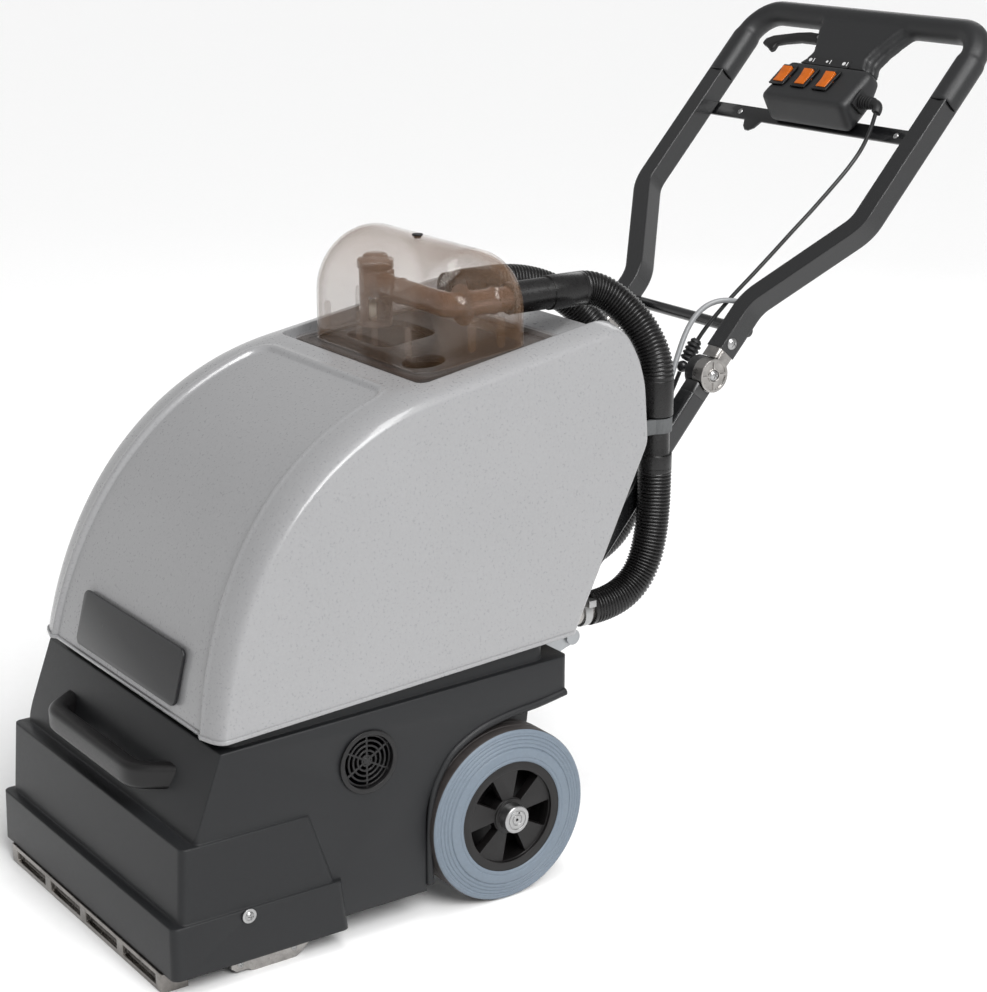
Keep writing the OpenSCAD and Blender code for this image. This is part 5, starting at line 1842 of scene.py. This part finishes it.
@dataclass
class Icons:
    """The printed strip above the rockers and its three plain signs, on the grip's web.

    Attributes:
        n: height of the print above the handle's plane, in millimetres.
        s: place of the strip along the handle, in millimetres.
        strip: width, length and corner radius of the strip, and the place of its middle across.
        places: middle of each sign along the strip.
        dots: radius of each sign's dot.
        bar: width, length and corner radius of the bar beside each dot, and its distance.
    """

    n: float = 14.4
    s: float = 437.0
    strip: Tuple[float, ...] = (78.0, 12.0, 3.0, -8.0)
    places: Triple = (-40.0, -10.0, 20.0)
    dots: Triple = (2.6, 1.8, 2.6)
    bar: Tuple[float, ...] = (1.2, 6.0, 0.4, 6.0)

    def raised(self, name: str, shapes: Sequence[Array], low: float, high: float,
              finish: Finish) -> None:
        """Makes one piece of flat shapes, each raised from low to high over the print's height.

        Args:
            name: name of the piece.
            shapes: outlines across and along the handle, in millimetres.
            low: height of their undersides from the print's height.
            high: height of their faces from the print's height.
            finish: its finish.
        """
        skin = Skin()
        for shape in shapes:
            g = np.array([handle_frame(np.insert(shape, 2, self.n + n, axis=1))
                          for n in (low, high)])
            skin.grid(g).ends(g)
        placed(skin.build(name, sharp=30), "handle", finish.make())

    def build(self) -> None:
        """Makes the strip and the signs."""
        w, h, r, x = self.strip
        self.raised("icon_strip", [rounded_rectangle(w, h, r, 5) + (x, self.s)], -1.0, 0.0,
                   PRINT_BLACK)
        w, h, r, away = self.bar
        signs = [shape for x, dot in zip(self.places, self.dots)
                 for shape in (arc((x, self.s), dot, 0, 360, 20)[:-1],
                               rounded_rectangle(w, h, r, 2) + (x + away, self.s))]
        self.raised("icon_signs", signs, -0.4, 0.25, PRINT_WHITE)


# Each row: a finish, the width of the eased edges in metres, the slot in the record where it isn't
# the finish's own name, and the nodes that share them.
PLAIN: Tuple[Tuple[Finish, float, str, str], ...] = (
    (STEEL, 0.0, "", "chassis spray_bar axle brush_shaft"),
    (STEEL, 0.0003, "", "brush_pulley motor_pulley frame_shaft"),
    (BRIGHT_STEEL, 0.0003, "", "body_screws hose_clamp"),
    (BRIGHT_STEEL, 0.0002, "", "handle_fasteners"),
    (CAST_SHOE, 0.0009, "cast_alloy", "vacuum_shoe"),
    (CAST_ALLOY, 0.0, "", "suction_duct"),
    (CAST_ALLOY, 0.0006, "", "brush_deck"),
    (CAST_ALLOY, 0.0005, "", "hinge_upper_halves"),
    (HINGE_DARK, 0.0005, "", "hinge_lower_halves"),
    (MOTOR_PAINT, 0.0008, "", "brush_motor vacuum_motor"),
    (PUMP_PAINT, 0.0008, "", "pump"),
    (BRISTLE, 0.0, "", "brush_roller"),
    (BADGE, 0.0008, "", "badge_plate"),
    (BLACK_PLASTIC, 0.0004, "", "side_vents"),
    # Painted shade: the recovery tank is brown; black plastic here stands for the shade it lies in
    # under the dome.
    (BLACK_PLASTIC, 0.0008, "", "recovery_tank"),
    (BLACK_PLASTIC, 0.0006, "", "switch_bezels"),
    (BLACK_PLASTIC, 0.002, "", "trigger_lever"),
    (BLACK_RUBBER, 0.0, "", "drive_belt dome_seal"),
    (BLACK_RUBBER, 0.0004, "", "dome_plug"),
    (BLACK_RUBBER, 0.0003, "", "strain_reliefs"),
    (HOSE_BLACK, 0.0005, "", "hose_cuffs"),
    (HOSE_BLACK, 0.0008, "", "hose_coupling"),
    (STRAP_GREY, 0.0004, "", "hose_strap"),
    (BROWN_PLASTIC, 0.0004, "", "float_cage"),
    (FLOAT_CREAM, 0.0, "", "float_ball"),
    (TUBE_PAINT, 0.0, "", "lower_tube_right lower_tube_left upper_tube_right upper_tube_left "
                          "lower_crossbar"),
    (TUBE_PAINT, 0.0006, "", "upper_crossbar"),
    (ORANGE, 0.0006, "", "rocker_left rocker_middle rocker_right"),
)


def cords() -> None:
    """Makes the hoses and cables."""
    Hose("far_hose", FAR_ROUTE, start_body="dome_unit", cord=True).build()
    Hose("lower_hose", LOWER_ROUTE).build()
    Hose("upper_hose", UPPER_ROUTE, start_body="dome_unit").build()
    Cable("control_cable", handle_frame(CABLE_ROUTE), 5.0, CABLE_BLACK, "handle",
          "handle").build()
    Cable("cable_tail", axle_frame(TAIL_ROUTE), 5.0, CABLE_BLACK, ball=7.0).build()
    Cable("solution_line", axle_frame(LINE_ROUTE), 6.5, LINE_GREY, "body", "handle",
          up=(0.3, 1.0, 0.2)).build()


def main() -> None:
    """Builds the studio, then each sub-assembly in turn."""
    logging.basicConfig(level=logging.INFO, format="%(name)s: %(message)s")
    Studio().build()
    cords()
    Cover().build()
    Dome().build()
    Pipework().build()
    for side in Side:
        Wheel(side).build()
    AxleCaps().build()
    Base().build()
    Moulded("grip").build()
    Moulded("switch_box", 0.0013, 110).build()
    Boot().build()
    Icons().build()
    for finish, bevel, slot, nodes in PLAIN:
        for node in nodes.split():
            Dressed(node, finish, bevel, slot).build()


if __name__ == "__main__":
    main()
